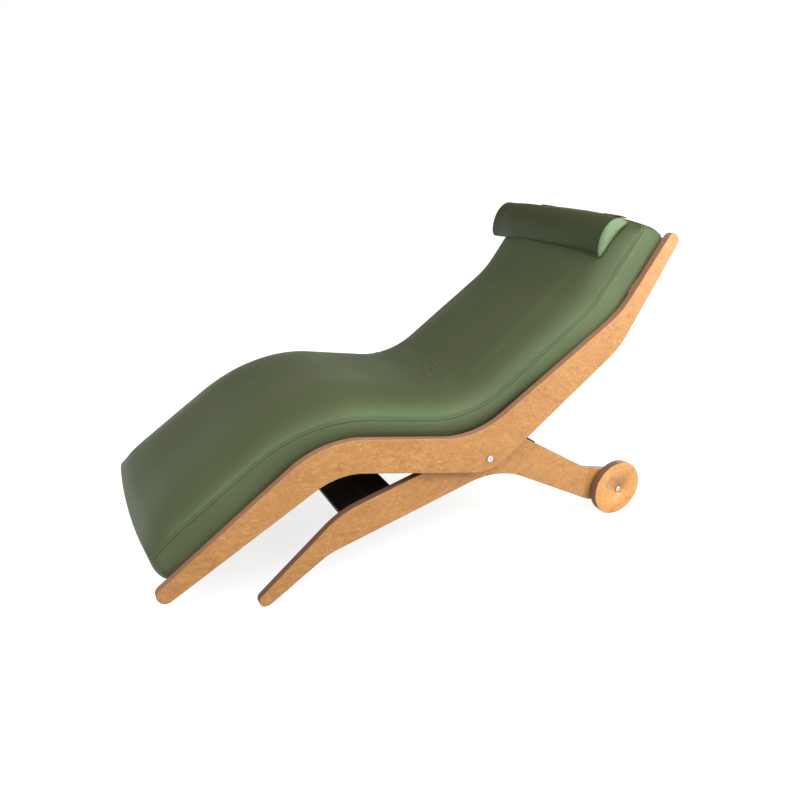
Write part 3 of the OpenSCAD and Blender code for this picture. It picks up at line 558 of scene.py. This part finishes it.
def inward(points):
    """Unit normals that point into an anticlockwise outline."""
    back = points - np.roll(points, 1, 0)
    on = np.roll(points, -1, 0) - points
    return left_of(unit(unit(back) + unit(on)))


def eased(k):
    """Step k of a rounded edge: how far in from the outline, and how far in from the face."""
    a = math.pi / 2 * k / EASE_STEPS
    return EASE * (1 - math.sin(a)), EASE * (1 - math.cos(a))


def board(name, points, low, high, face, edge):
    """A plywood board: an anticlockwise outline across from low to high, with rounded-over edges."""
    points = points[np.linalg.norm(points - np.roll(points, 1, 0), axis=1) > 0.05]
    normal = inward(points)
    rings = [(d, low + y) for d, y in map(eased, range(EASE_STEPS + 1))]
    rings += [(d, high - (y - low)) for d, y in reversed(rings)]
    n = len(points)
    verts = [world(p, y) for d, y in rings for p in points + normal * d]
    faces = [list(range(n))] + [[q, p, s, r] for p, q, r, s in skin(len(rings), n)]
    faces.append(list(range((len(rings) - 1) * n, len(rings) * n))[::-1])
    kinds = [0] + [0 if r < 2 or r > len(rings) - 4 else 1 for r in range(len(rings) - 1) for _ in range(n)] + [0]
    piece = make(name, verts, faces, [face, edge])
    piece.data.polygons.foreach_set("material_index", kinds)
    face_out(piece, flat_caps=True)
    return piece


def mirrored(low, high, side):
    return (-high, -low) if side == "left" else (low, high)


for side in ("left", "right"):
    rail = board("rail_" + side, rail_outline, *mirrored(RAIL_IN, RAIL_OUT, side), rail_face, birch_edge)
    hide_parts("side_rail_" + side)
    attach(rail, "seat")
    plate = board("plate_" + side, plate_outline, *mirrored(PLATE_IN, PLATE_OUT, side), plate_face, plate_edge)
    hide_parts("base_plate_" + side)
    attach(plate, "base")


def disc_wheel(side):
    """Plywood disc with eased rims and the bore for its bush."""
    low, _ = mirrored(WHEEL_IN, WHEEL_IN + WHEEL_T, side)
    half = [(WHEEL_BORE_R, 0), (WHEEL_R - EASE, 0)]
    half += [(WHEEL_R - d, y) for d, y in map(eased, range(1, EASE_STEPS + 1))]
    profile = half + [(r, WHEEL_T - y) for r, y in reversed(half)]
    turns, m = 128, len(profile)
    verts = []
    for k in range(turns):
        d = heading(360 * k / turns)
        verts += [world(hub_at + d * r, low + y) for r, y in profile]
    piece = make("disc_wheel_" + side, verts, skin(turns, m, closed=True), [wheel_face, wheel_edge])
    kinds = [1 if 3 <= i <= m - 5 else 0 for i in range(m)] * turns
    piece.data.polygons.foreach_set("material_index", kinds)
    face_out(piece)
    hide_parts("wheel_" + side)
    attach(piece, "wheel_" + side + "_body")


for side in ("left", "right"):
    disc_wheel(side)

# The mattress
SEAM_HALF = MATTRESS_HALF * SEAM_SHARE
END_LEAN, END_BOW, END_BULGE, END_ZONE = 24, 20, 8, 170
CORNER_R, CORNER_SAG, CORNER_OUT = 26, 12, 7
LOWEST, LOW_ROUND, LOW_FROM, ROLL_UNDER, ROLL_FROM, SIDE_BULGE = 0.6, 6, 84, 24, 14, 4.7
SEAM_GROOVE, STITCH_DROP, STITCH_GROOVE = 1.3, 8, 1.5
CROWN_POWER, CROWN_ROUND = 6, 0.7
PAD_FADE, FOLD_FADE, SWELL_FADE = 40.0, 30.0, 14.0
SIDE_PUCKER, END_PUCKER, CORNER_PUCKER, CORNER_REACH = 1.5, 1.7, 2.6, 55.0
CORNER_PULL_ALONG, CORNER_PULL_ASIDE, FAR_CORNER_SHARE = 58.0, 62.0, 0.25
# Folds by width; each row is its place along the bed from the hip and across, its length, turn and depth
FOLD_REACH = 125
HIP_FOLDS = (
    (7, ((-62, 236, 96, 34, 3.8), (-34, 214, 120, 26, 4.8), (2, 228, 104, 12, 3.4), (38, 206, 120, -6, 2.2),
         (74, 232, 90, -18, 1.2))),
    (8, ((-14, -36, 110, 30, 2.0), (14, -62, 130, 22, 2.8), (44, -48, 120, 10, 2.2), (70, -80, 100, 2, 1.2))),
    (14, ((20, 40, 180, 8, 0.6), (96, -20, 210, -6, 0.7))),
)
SIDE_LEVELS = (0, 1.2, 2.4, 4.4, 6.4, 7.2, 8.0, 8.8, 9.6, 11.5, 15, 20, 28, 38, 50, 62, 73, 82, 86, 89, 91, 93, 94.2)


def spaced(length, near, middle):
    """Distances from 0 to length: near lists the ones close to each end, the rest are about middle apart."""
    inner = length - 2 * near[-1]
    n = max(1, round(inner / middle))
    body = [near[-1] + inner * k / n for k in range(1, n)]
    return np.array(list(near) + body + [length - d for d in reversed(near)])


def fullness(c):
    """Share of the crown at share c of the half width: a quick rise at the seam, then nearly flat."""
    return max(0.0, 1 - abs(c) ** CROWN_POWER) ** CROWN_ROUND


def crown_at(s):
    """Height of the crown over the top seam, at s along the bed."""
    u = clamp(min(s, bed.length - s) / CROWN_FADE)
    v = clamp((s - bed.start_of(1)) / CROWN_STEP)
    return (MATTRESS_CROWN + CROWN_MORE * v * v * (3 - 2 * v)) * (1 - (1 - u) ** 3)


def corner_share(s, q):
    """How near a place is to a corner at the foot, where the cover is pulled down: 1 at the near corner."""
    end, side = max(0.0, s), max(0.0, SEAM_HALF - abs(q))
    pull = bell(end / CORNER_PULL_ALONG) * bell(side / CORNER_PULL_ASIDE)
    return pull * (1.0 if q < 0 else FAR_CORNER_SHARE)


def end_push(s, q, h):
    """How far the lean and the bow of the ends push a point along the bed."""
    foot = max(0.0, 1 - s / END_ZONE) ** 2
    head = max(0.0, 1 - (bed.length - s) / END_ZONE) ** 2
    return (END_LEAN * h / MATTRESS_H - END_BOW * (1 - (q / MATTRESS_HALF) ** 2)) * (foot - head)


def mattress_point(s, q, h):
    pulled = corner_share(s, q) * h / MATTRESS_H
    return world(bed.beside(s + end_push(s, q, h) - CORNER_OUT * pulled, h - CORNER_SAG * pulled), q)


class Crease:
    """A fold in the cover: a narrow valley between two soft shoulders, along a short line."""

    def __init__(self, width, s, q, length, turn, depth):
        self.mid, self.length, self.depth, self.width = np.array([s, q]), length, depth, width
        a = math.radians(turn)
        self.along = np.array([math.sin(a), math.cos(a)])
        self.across = np.array([math.cos(a), -math.sin(a)])

    def height(self, s, q):
        d = np.array([s, q]) - self.mid
        u = d @ self.along / (self.length / 2)
        if abs(u) >= 1:
            return 0.0
        bow = 0.06 * self.length * (u * u - 0.3)
        x = (d @ self.across - bow) / self.width
        fade = (1 - u * u) ** 1.5
        return fade * self.depth * (0.55 * bell(abs(x) - 1.9) - bell(x))


# Short folds at the far side of the hip, a faint fan near the near seam, weak pulls at the shoulder
creases = [Crease(width, hip_mark + at, *rest) for width, rows in HIP_FOLDS for at, *rest in rows]
creases += [Crease(12, shoulder_mark - 40 + 38 * k, -120 + 130 * k, 170, 10 - 9 * k, 0.6) for k in range(3)]


def puckers(run, d, seed):
    """Little gathers that the seam draws in: run along the seam, d away from it."""
    n = wave(run / 17.0, seed, 0.0) + 0.5 * wave(run / 7.5, seed, 4.0)
    return n * math.exp(-d / 13.0) * (1 - math.exp(-d / 3.0))


def drift(s, q):
    """Broad unevenness of the padding under the cover."""
    return wave(s / 210.0, q / 150.0, 1.7) + 0.4 * wave(s / 80.0, q / 70.0, 5.2)


def top_height(s, q, swell):
    """Height of the cover's top above the bed at a place in its plan."""
    side = SEAM_HALF - abs(q)
    end = min(s, bed.length - s)
    crown = crown_at(s) * fullness(q / SEAM_HALF)
    inner = clamp(side / PAD_FADE) * clamp(end / PAD_FADE)
    folds = sum(c.height(s, q) for c in creases) * clamp(side / FOLD_FADE)
    h = MATTRESS_H + crown + inner * drift(s, q) + folds
    side_pucker = SIDE_PUCKER * puckers(s, side, 0.3 if q < 0 else 7.1)
    h += side_pucker + END_PUCKER * puckers(q, max(0.0, end), 3.3 if s < bed.length / 2 else 9.4)
    corner = bell(side / CORNER_REACH) * bell(end / CORNER_REACH)
    h += CORNER_PUCKER * corner * wave(s / 9.0, q / 9.0, 2.0)
    return h + (swell(s, q) if swell else 0.0)


def to_rounded(d_end, d_side):
    """Moves a grid place near a plan corner onto the rounded corner."""
    if d_end >= CORNER_R or d_side >= CORNER_R:
        return d_end, d_side
    x, y = 1 - d_end / CORNER_R, 1 - d_side / CORNER_R
    return CORNER_R * (1 - x * math.sqrt(1 - y * y / 2)), CORNER_R * (1 - y * math.sqrt(1 - x * x / 2))


def tuck_at(s):
    """How deep the mattress sits between the rails at s: 0 at the ends, 1 between knee and hip."""
    depths = ((0, 0), (bed.start_of(1), 20), (bed.start_of(2), 32), (bed.start_of(4), 32), (bed.start_of(5), 11),
              (bed.length, 0))
    return float(np.interp(s, *zip(*depths))) / 32


def side_offset(drop, end_share, tuck=0.0):
    """How far the side stands out from the seam, drop below it: bulge, roll under, stitched groove, lower edge."""
    t = drop / MATTRESS_H
    bulge = SIDE_BULGE * math.sin(math.pi * min(0.5, t * 1.4)) ** 0.7 * (1 - end_share)
    bulge += END_BULGE * math.sin(math.pi * t) * end_share
    bulge -= ROLL_UNDER * tuck ** 3 * (1 - end_share) * max(0.0, (drop - ROLL_FROM) / (MATTRESS_H - ROLL_FROM)) ** 2
    low = max(0.0, drop - LOW_FROM) / (MATTRESS_H - LOWEST - LOW_FROM)
    edge = LOW_ROUND * (0.1 + 0.9 * tuck * tuck) * (1 - math.sqrt(max(0.0, 1 - low * low)))
    groove = STITCH_GROOVE * bell((drop - STITCH_DROP) / 1.2)
    return bulge - edge - groove


def cushion(name, along, across, levels, swell=None):
    """The closed mattress: a gridded top, a gusset all round and an underside."""
    na, nq = len(along), len(across)
    plan = np.zeros((na, nq, 2))
    for i, s in enumerate(along):
        for j, w in enumerate(across):
            end, side = to_rounded(min(s, bed.length - s), min(w, 2 * SEAM_HALF - w))
            plan[i, j] = (end if s < bed.length / 2 else bed.length - end,
                          side - SEAM_HALF if w < SEAM_HALF else SEAM_HALF - side)
    loop = [(i, 0) for i in range(na)] + [(na - 1, j) for j in range(1, nq)]
    loop += [(i, nq - 1) for i in range(na - 2, -1, -1)] + [(0, j) for j in range(nq - 2, 0, -1)]
    on_rim = {ij: k for k, ij in enumerate(loop)}
    rim_points = np.array([plan[i, j] for i, j in loop])
    out = -inward(rim_points)
    points, seam = [], []
    for i in range(na):
        for j in range(nq):
            s, q = plan[i, j]
            h = top_height(s, q, swell)
            # seam holds the strength of the painted shade, here along the top seam
            seam.append(0.8 * bell(min(s, bed.length - s, SEAM_HALF - abs(q)) / 0.9))
            if (i, j) in on_rim:
                k = on_rim[i, j]
                h = MATTRESS_H - SEAM_GROOVE * 0.6
                s, q = rim_points[k] - out[k] * SEAM_GROOVE * 0.7
            points.append(mattress_point(s, q, h))
    faces = [[i * nq + j, (i + 1) * nq + j, (i + 1) * nq + j + 1, i * nq + j + 1]
             for i in range(na - 1) for j in range(nq - 1)]
    runs = np.concatenate([[0], np.cumsum(np.linalg.norm(np.diff(rim_points, axis=0), axis=1))])
    m = len(loop)
    above = [i * nq + j for i, j in loop]
    for drop in levels[1:]:
        below = list(range(len(points), len(points) + m))
        for k in range(m):
            gather = 1.1 * puckers(runs[k], drop, 12.0)
            gather += 0.9 * wave(runs[k] / 120.0, drop / 60.0, 8.0)
            stand = side_offset(drop, abs(out[k][0]), tuck_at(rim_points[k][0]))
            s, q = rim_points[k] + out[k] * (stand + gather * min(1.0, (MATTRESS_H - drop) / 20.0))
            q = clamp(q, 0.3 - MATTRESS_HALF, MATTRESS_HALF - 0.3)
            points.append(mattress_point(s, q, max(LOWEST, MATTRESS_H - drop)))
            # painted shade along the top seam and along the stitch groove on the gusset
            seam.append(0.8 * bell(drop) + 0.75 * bell((drop - STITCH_DROP) / 0.9))
        for k in range(m):
            j = (k + 1) % m
            faces.append([below[k], below[j], above[j], above[k]])
        above = below
    place = {ij: above[k] for k, ij in enumerate(loop)}
    for i in range(1, na - 2):
        faces.append([place[i, 0], place[i, nq - 1], place[i + 1, nq - 1], place[i + 1, 0]])
    for i, inner in ((0, 1), (na - 1, na - 2)):
        faces.append([place[i, j] for j in range(nq)] + [place[inner, nq - 1], place[inner, 0]])
    piece = make(name, points, faces, [mattress_leather])
    piece.data.attributes.new("seam", "FLOAT", "POINT").data.foreach_set("value", seam)
    face_out(piece)
    return piece


CLOTH_FRAMES, CLOTH_PRESSURE, CLOTH_LEVELS = 18, 3.0, (0, 20, 45, 70, 92.6)
RISE_MEAN, RISE_CAP, RISE_SHARE = 1.6, 5, 0.6


def blown():
    """Cloth pass on a coarse copy: pressed from inside with its seam and underside held.

    Returns how far the top rises, as a function of the place in the plan.
    """
    along, across = spaced(bed.length, (0, 12, 28), 24), spaced(2 * SEAM_HALF, (0, 10, 24), 22)
    na, nq = len(along), len(across)
    coarse = cushion("mattress_coarse", along, across, CLOTH_LEVELS)
    rest = np.array([v.co for v in coarse.data.vertices])
    held = coarse.vertex_groups.new(name="held")
    grid = na * nq
    ring = [i * nq + j for i in range(na) for j in range(nq) if i in (0, na - 1) or j in (0, nq - 1)]
    held.add(ring, 1.0, "REPLACE")
    held.add(list(range(len(rest) - len(ring), len(rest))), 1.0, "REPLACE")
    cloth = coarse.modifiers.new("cloth", "CLOTH")
    for field, value in (("quality", 5), ("mass", 0.35), ("tension_stiffness", 14), ("compression_stiffness", 14),
                         ("bending_stiffness", 0.8), ("use_pressure", True),
                         ("uniform_pressure_force", CLOTH_PRESSURE), ("shrink_min", -0.012),
                         ("vertex_group_mass", "held")):
        setattr(cloth.settings, field, value)
    cloth.settings.effector_weights.gravity = 0
    cloth.collision_settings.use_collision = False
    cloth.point_cache.frame_start, cloth.point_cache.frame_end = 1, CLOTH_FRAMES
    scene = bpy.context.scene
    for f in range(1, CLOTH_FRAMES + 1):
        scene.frame_set(f)
    moved = coarse.evaluated_get(bpy.context.evaluated_depsgraph_get()).to_mesh()
    after = np.array([v.co for v in moved.vertices])[:grid]
    scene.frame_set(1)
    rise = np.zeros((na, nq))
    for i in range(na):
        up = square_to(bed.at(along[i])[1])
        d = after[i * nq:(i + 1) * nq] - rest[i * nq:(i + 1) * nq]
        rise[i] = (d[:, 0] * up[0] + d[:, 2] * up[1]) / MM
    for _ in range(6):
        wide = np.pad(rise, 1, mode="edge")
        rise = (4 * rise + wide[:-2, 1:-1] + wide[2:, 1:-1] + wide[1:-1, :-2] + wide[1:-1, 2:]) / 8
    rise = RISE_MEAN + RISE_SHARE * RISE_CAP * np.tanh((rise - np.median(rise)) / RISE_CAP)
    data = coarse.data
    bpy.data.objects.remove(coarse)
    bpy.data.meshes.remove(data)

    def eased_cell(marks, at):
        """Cell of the grid that holds a place, and an eased share of the way through it."""
        i = clamp(int(np.searchsorted(marks, at)) - 1, 0, len(marks) - 2)
        u = clamp((at - marks[i]) / (marks[i + 1] - marks[i]))
        return i, u * u * (3 - 2 * u)

    def swell(s, q):
        i, u = eased_cell(along, s)
        j, v = eased_cell(across, q + SEAM_HALF)
        near, far = (rise[i, k] * (1 - u) + rise[i + 1, k] * u for k in (j, j + 1))
        side = min(SEAM_HALF - abs(q), s, bed.length - s)
        return (near * (1 - v) + far * v) * clamp(side / SWELL_FADE)

    return swell


swell = blown()
top_along = spaced(bed.length, (0, 1.5, 3, 5, 8, 12, 17, 23, 30, 38, 47, 57, 68, 80), 11)
folded = abs(top_along - hip_mark) < FOLD_REACH
fold_rows = np.arange(hip_mark - FOLD_REACH, hip_mark + FOLD_REACH, 5.5)
top_along = np.sort(np.concatenate([top_along[~folded], fold_rows]))
top_across = spaced(2 * SEAM_HALF, (0, 1.5, 3, 5, 8, 12, 17, 23, 30, 38, 47, 57, 68), 8)
mattress = cushion("mattress", top_along, top_across, SIDE_LEVELS, swell)
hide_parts("mattress_cover", "mattress_foam")
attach(mattress, "seat")


def seam_run(drop, stand_out, step):
    """Points round the mattress, drop below the top seam, with the outward direction at each."""
    span = [(s, -SEAM_HALF) for s in np.arange(CORNER_R, bed.length - CORNER_R, step)]
    turn = [(bed.length - CORNER_R + CORNER_R * math.sin(a), -SEAM_HALF + CORNER_R - CORNER_R * math.cos(a))
            for a in np.arange(0, math.pi / 2, step / CORNER_R)]
    end = [(bed.length, q) for q in np.arange(-SEAM_HALF + CORNER_R, 0, step)]
    quarter = span + turn + end
    near = quarter + [(s, -q) for s, q in reversed(quarter)]
    start = [(bed.length - s, q) for s, q in turn + end]
    loop = np.array(near + [(s, -q) for s, q in start] + [(s, q) for s, q in reversed(start)])
    loop = loop[np.linalg.norm(loop - np.roll(loop, 1, 0), axis=1) > 0.5]
    out = -inward(loop)
    places = []
    for (s, q), n in zip(loop, out):
        t = np.array([s, q]) + n * (side_offset(drop, abs(n[0]), tuck_at(s)) + stand_out)
        t[1] = clamp(t[1], 0.2 - MATTRESS_HALF, MATTRESS_HALF - 0.2)
        places.append(mattress_point(t[0], t[1], MATTRESS_H - drop))
    return places


THREAD_SIDES, CORD_SIDES = 5, 8


def circle(side, up, n):
    """Unit vectors round a circle, in n steps from side by way of up."""
    return [side * math.cos(2 * math.pi * k / n) + up * math.sin(2 * math.pi * k / n) for k in range(n)]


def stitches(name, places, pitch, length, thick):
    """Short threads laid along a line of places."""
    verts, faces = [], []
    run, aim = 0.0, 0.0
    for a, b in zip(places, places[1:]):
        step = (b - a).length
        if step < 1e-6:
            continue
        while aim <= run + step:
            mid = a.lerp(b, (aim - run) / step)
            along = (b - a).normalized()
            side = along.cross(Vector((0, 0, 1)) if abs(along.z) < 0.9 else Vector((0, 1, 0))).normalized()
            ring = circle(side, side.cross(along), THREAD_SIDES)
            base = len(verts)
            for e, r in ((-0.5, 0.35), (-0.3, 1.0), (0.3, 1.0), (0.5, 0.35)):
                verts += [mid + along * e * length + d * thick * r / 2 for d in ring]
            faces += [[base + i for i in face] for face in skin(4, THREAD_SIDES)]
            aim += pitch
        run += step
    piece = make(name, verts, faces, [thread])
    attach(piece, "seat")


stitches("mattress_stitching", seam_run(STITCH_DROP, 0.9, 6), 5.2 * MM, 3.6 * MM, 0.8 * MM)


# The neck pillow and its straps
PILLOW_SKEW = math.tan(math.radians(PILLOW_TURN))
PILLOW_PEAK, PILLOW_REST, PILLOW_FILL, PILLOW_LIE, PILLOW_BEND = 0.6, 0.84, 0.89, 1.3, 0.07
PILLOW_LIFT, PILLOW_LIFT_SHARE = 4.0, 0.2
PILLOW_OVER, PILLOW_BELOW = 44, 20
# Rows of an end panel: how far out it bulges there, and the share of the full section
END_ROWS = ((8.6, 0.12), (8.2, 0.35), (7.2, 0.58), (5.4, 0.76), (3.2, 0.89), (1.2, 0.965), (0.2, 0.985))
END_OUT, END_TAPER = 9, 0.06
END_FULL = 1 - END_TAPER
STRAP_LIFT, STRAP_HALF_T = 3.0, 1.5
# Half section of a strap with stitched edges, in half widths and half thicknesses
STRAP_RING = ((-1, -0.5), (-1, 0.5), (-0.96, 1), (-0.88, 0.6), (-0.8, 1), (0, 1.1), (0.8, 1), (0.88, 0.6), (0.96, 1),
              (1, 0.5), (1, -0.5), (0.96, -1), (0, -1), (-0.96, -1))
pillow_s = bed.length - np.linalg.norm(bed_points[4] - bed_points[3]) + PILLOW_AT


def pillow_under(s, q):
    """Height of the pillow's flat side: it follows the crown of the mattress."""
    c = PILLOW_REST - PILLOW_BEND * math.log(1 + math.exp((PILLOW_REST - abs(q) / MATTRESS_HALF) / PILLOW_BEND))
    crown = crown_at(s) * fullness(c / SEAM_SHARE)
    return MATTRESS_H + max(crown, 3.0) + PILLOW_LIE


def pillow_thickness(t):
    """Share of the pillow's height at share t of its width: fuller towards the head."""
    x, power = (1 - t / PILLOW_PEAK, 1.8) if t < PILLOW_PEAK else ((t - PILLOW_PEAK) / (1 - PILLOW_PEAK), 2.6)
    return max(0.0, 1 - abs(x) ** power) ** (1 / power)


def edge_lift(t):
    """How far the pillow's lower edge is lifted off the mattress, at share t of its width."""
    return PILLOW_LIFT * max(0.0, 1 - t / PILLOW_LIFT_SHARE) ** 2


def pillow_section(q, shrink, full, ripple):
    """Ring of the pillow at q across: over the top from the lower edge, then back along the flat side."""
    from_s = pillow_s + (q - PILLOW_SHIFT) * PILLOW_SKEW
    ring = []
    for i in range(PILLOW_OVER + 1):
        t = (1 - math.cos(math.pi * i / PILLOW_OVER)) / 2
        s = from_s + PILLOW_W * t
        h = pillow_thickness(t) * PILLOW_H * PILLOW_FILL * full
        h += ripple * math.sin(math.pi * t) * wave(q / 95.0, t * 3.0, 3.0)
        h += ripple * 0.9 * puckers(q, PILLOW_W * min(t, 1 - t), 21.0) + edge_lift(t)
        ring.append((s, pillow_under(s, q) + h))
    for i in range(1, PILLOW_BELOW):
        t = 1 - i / PILLOW_BELOW
        s = from_s + PILLOW_W * t
        ring.append((s, pillow_under(s, q) + edge_lift(t)))
    mid_s = from_s + PILLOW_W * 0.5
    mid = np.array([mid_s, pillow_under(mid_s, q) + PILLOW_H * full * 0.42])
    return [mid + (np.array(p) - mid) * shrink for p in ring]


def pillow_mesh(half):
    """Closed pillow: a D-section along Y with a seamed panel at each end."""
    rows = [(-half - d, share, END_FULL) for d, share in END_ROWS]
    for q in spaced(2 * half, (0, 1.2, 2.6, 5, 9, 15, 23, 33, 46), 13) - half:
        tuck = math.exp(-(half - abs(q)) / 26.0)
        groove = 0.985 if abs(abs(q) - half) < 0.5 else 1.0
        rows.append((q, groove, 1 - END_TAPER * tuck))
    rows += [(half + d, share, END_FULL) for d, share in reversed(END_ROWS)]
    points = []
    for q, share, full in rows:
        inside = clamp(q, -half, half)
        for s, h in pillow_section(inside + PILLOW_SHIFT, share, full, 1.0):
            points.append(world(bed.beside(s, h), q + PILLOW_SHIFT))
    m, ends = len(points) // len(rows), len(END_ROWS)
    faces = skin(len(rows), m, capped=True)
    piece = make("neck_pillow", points, faces, [pillow_leather_painted_shade, end_leather_painted_highlight])
    # The end panels take the brighter copy of the leather: a painted highlight.
    caps = [1 if k < ends * m or k >= (len(rows) - 1 - ends) * m else 0 for k in range(len(faces))]
    piece.data.polygons.foreach_set("material_index", caps)
    face_out(piece)
    return piece


def cord(name, places, radius, closed=False):
    """A round piping cord along places."""
    verts = []
    n = len(places)
    ref = Vector((0.31, 0.17, 0.93))
    for i, p in enumerate(places):
        a, b = places[i - 1 if closed or i else 0], places[(i + 1) % n if closed else min(i + 1, n - 1)]
        along = (b - a).normalized()
        side = (ref - along * ref.dot(along)).normalized()
        verts += [p + d * radius for d in circle(side, along.cross(side), CORD_SIDES)]
    piece = make(name, verts, skin(n, CORD_SIDES, closed, not closed), [piping_leather_painted_highlight])
    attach(piece, "pillow")


pillow_half = PILLOW_LEN / 2 - END_OUT
pillow = pillow_mesh(pillow_half)
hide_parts("pillow_cover", "pillow_filling")
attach(pillow, "pillow")
for tag, side in (("left", -1), ("right", 1)):
    ring = pillow_section(side * pillow_half + PILLOW_SHIFT, 0.995, END_FULL, 0.0)
    q = side * (pillow_half + 0.4)
    cord("pillow_piping_" + tag, [world(bed.beside(s, h), q + PILLOW_SHIFT) for s, h in ring], 1.5 * MM, True)
for tag, t in (("lower", 0.0), ("upper", 1.0)):
    line = []
    for q in np.linspace(-pillow_half, pillow_half, 70) + PILLOW_SHIFT:
        s = pillow_s + (q - PILLOW_SHIFT) * PILLOW_SKEW + PILLOW_W * t
        line.append(world(bed.beside(s - 0.6 + 1.2 * t, pillow_under(s, q) + 1.0 + PILLOW_LIFT * (1 - t)), q))
    cord("pillow_piping_" + tag, line, 1.6 * MM)


def strap(side):
    """A flat leatherette strap from the pillow's upper edge over the head edge of the mattress."""
    y = PILLOW_SHIFT + side * PILLOW_LEN / 2 * STRAP_SHARE
    start = pillow_s + PILLOW_W + (y - PILLOW_SHIFT) * PILLOW_SKEW + 0.8
    laid = []
    for s in np.linspace(bed.length - 70, bed.length - 1, 36):
        h = MATTRESS_H + crown_at(s) * fullness(y / SEAM_HALF)
        laid.append((s + end_push(s, y, h), h))
    for drop in np.linspace(3, MATTRESS_H / 2, 12):
        h = MATTRESS_H - drop
        laid.append((bed.length + end_push(bed.length, y, h) + side_offset(drop, 1.0), h))
    laid = np.array(laid)
    run = unit(np.gradient(laid, axis=0))
    for _ in range(3):
        run[1:-1] = (run[:-2] + 2 * run[1:-1] + run[2:]) / 4
        run = unit(run)
    laid += left_of(run) * STRAP_LIFT
    top = np.array([start, pillow_under(start, y) + 0.6])
    places = [top] + [p for p in laid if p[0] > start + 13 or p[1] < MATTRESS_H]
    verts = []
    for i, (s, h) in enumerate(places):
        q = places[min(i + 1, len(places) - 1)] - places[max(i - 1, 0)]
        lift = np.array([-q[1], q[0]]) / np.linalg.norm(q)
        for w, t in STRAP_RING:
            r = np.array([s, h]) + lift * t * STRAP_HALF_T
            verts.append(world(bed.beside(r[0], r[1]), y + w * STRAP_W / 2))
    name = "strap_left" if side < 0 else "strap_right"
    # The strap takes the pillow's darker copy of the leather, painted shade.
    piece = make(name, verts, skin(len(places), len(STRAP_RING), capped=True), [pillow_leather_painted_shade])
    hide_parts("pillow_" + name)
    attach(piece, "pillow")


for side in (-1, 1):
    strap(side)


# Floor, light and camera
def area_light(name, place, target, size, power, colour):
    data = bpy.data.lights.new(name, "AREA")
    data.shape, data.size, data.energy, data.color = "DISK", size, power, colour
    lamp = added(name, data)
    lamp.location = place
    lamp.rotation_euler = (Vector(target) - Vector(place)).to_track_quat("-Z", "Y").to_euler()


# The floor lies a little under the feet; both in metres
FLOOR_HALF, FLOOR_Z = 30, -0.0008
floor = make("floor", [(x * FLOOR_HALF, y * FLOOR_HALF, FLOOR_Z) for x, y in ((-1, -1), (1, -1), (1, 1), (-1, 1))],
             [[0, 1, 2, 3]], [], False)


paper = Shader("paper", roughness=0.9, specular_ior_level=0.0)
paper.feed(paper.bsdf.inputs["Base Color"], paper.ramp(paper.noise((0.3, 0.3, 0.3), 2), (0.3, 0.40), (0.7, 0.42)))
place = paper.node("SeparateXYZ", {"Vector": paper.coords}).outputs
squares = [paper.math("POWER", paper.math("ABSOLUTE", place[axis]), 2.0) for axis in ("X", "Y")]
far = paper.math("POWER", paper.math("ADD", *squares), 0.5)
# The floor's own light is a little lower near the object, so that its shadow shows
lift = paper.ramp(paper.math("DIVIDE", far, 4.0), (0.15, 0.75), (0.55, 1.0))
white = paper.node("Emission", {"Color": (1, 1, 1, 1), "Strength": paper.math("MULTIPLY", lift, paper.seen())})
both = paper.node("AddShader", {0: paper.bsdf.outputs[0], 1: white.outputs[0]})
paper.feed(paper.nodes["Material Output"].inputs["Surface"], both.outputs[0])
floor.data.materials.append(paper.material)

studio = bpy.data.worlds.new("studio")
bpy.context.scene.world = studio
studio.use_nodes = True
sky = Nodes(studio.node_tree)
# Rays by way of gloss or glass see a white horizon and a darker ceiling, the camera's own see white
height = sky.node("SeparateXYZ", {0: sky.node("TexCoord").outputs["Generated"]}).outputs["Z"]
shown = sky.ramp(height, (0.15, 1.0), (0.27, (0.22, 0.22, 0.21)))
plain = sky.math("MAXIMUM", shown, sky.node("LightPath").outputs["Is Camera Ray"])
ambient = sky.nodes["Background"]
ambient.inputs["Color"].default_value = (0.34, 0.335, 0.32, 1)
backdrop = sky.node("Background", {"Color": plain})
both = sky.node("MixShader", {0: sky.seen(), 1: ambient.outputs[0], 2: backdrop.outputs[0]})
sky.feed(sky.nodes["World Output"].inputs["Surface"], both.outputs[0])

area_light("key", (1.9, -2.1, 0.95), (0.5, 0, 0.8), 1.3, 31, (0.97, 1.0, 0.97))
area_light("fill", (-1.5, -1.4, 2.2), (-0.3, 0, 0.4), 1.8, 54, (0.98, 1.0, 0.97))
area_light("side", (1.2, -1.5, 2.1), (0, -0.1, 0.5), 2.0, 64, (0.99, 1.0, 0.95))
area_light("back", (3.5, 1.5, 0.8), (0, 0.2, 0.45), 1.0, 52, (1.0, 1.0, 1.0))

CAMERA_BACK, CAMERA_SIDE, CAMERA_H = 2150, 1189, 1366
YAW, PITCH, ROLL = 25.85, 21.1, -0.5
FOCAL_PIXELS, PICTURE_PIXELS, SENSOR = 738.0, 800, 36.0
camera_data = bpy.data.cameras.new("camera")
camera_data.sensor_width = SENSOR
camera_data.lens = FOCAL_PIXELS / PICTURE_PIXELS * SENSOR
camera = added("camera", camera_data)
yaw, pitch = math.radians(YAW), math.radians(PITCH)
look = Vector((math.sin(yaw) * math.cos(pitch), math.cos(yaw) * math.cos(pitch), -math.sin(pitch)))
right = Vector((math.cos(yaw), -math.sin(yaw), 0))
up = right.cross(look)
roll = math.radians(ROLL)
right, up = right * math.cos(roll) + up * math.sin(roll), up * math.cos(roll) - right * math.sin(roll)
camera.matrix_world = Matrix.Translation((PIVOT.x - CAMERA_SIDE * MM, -CAMERA_BACK * MM, CAMERA_H * MM)) @ Matrix(
    (right, up, -look)).transposed().to_4x4()
bpy.context.scene.camera = camera
bpy.context.scene.view_settings.view_transform = "Standard"
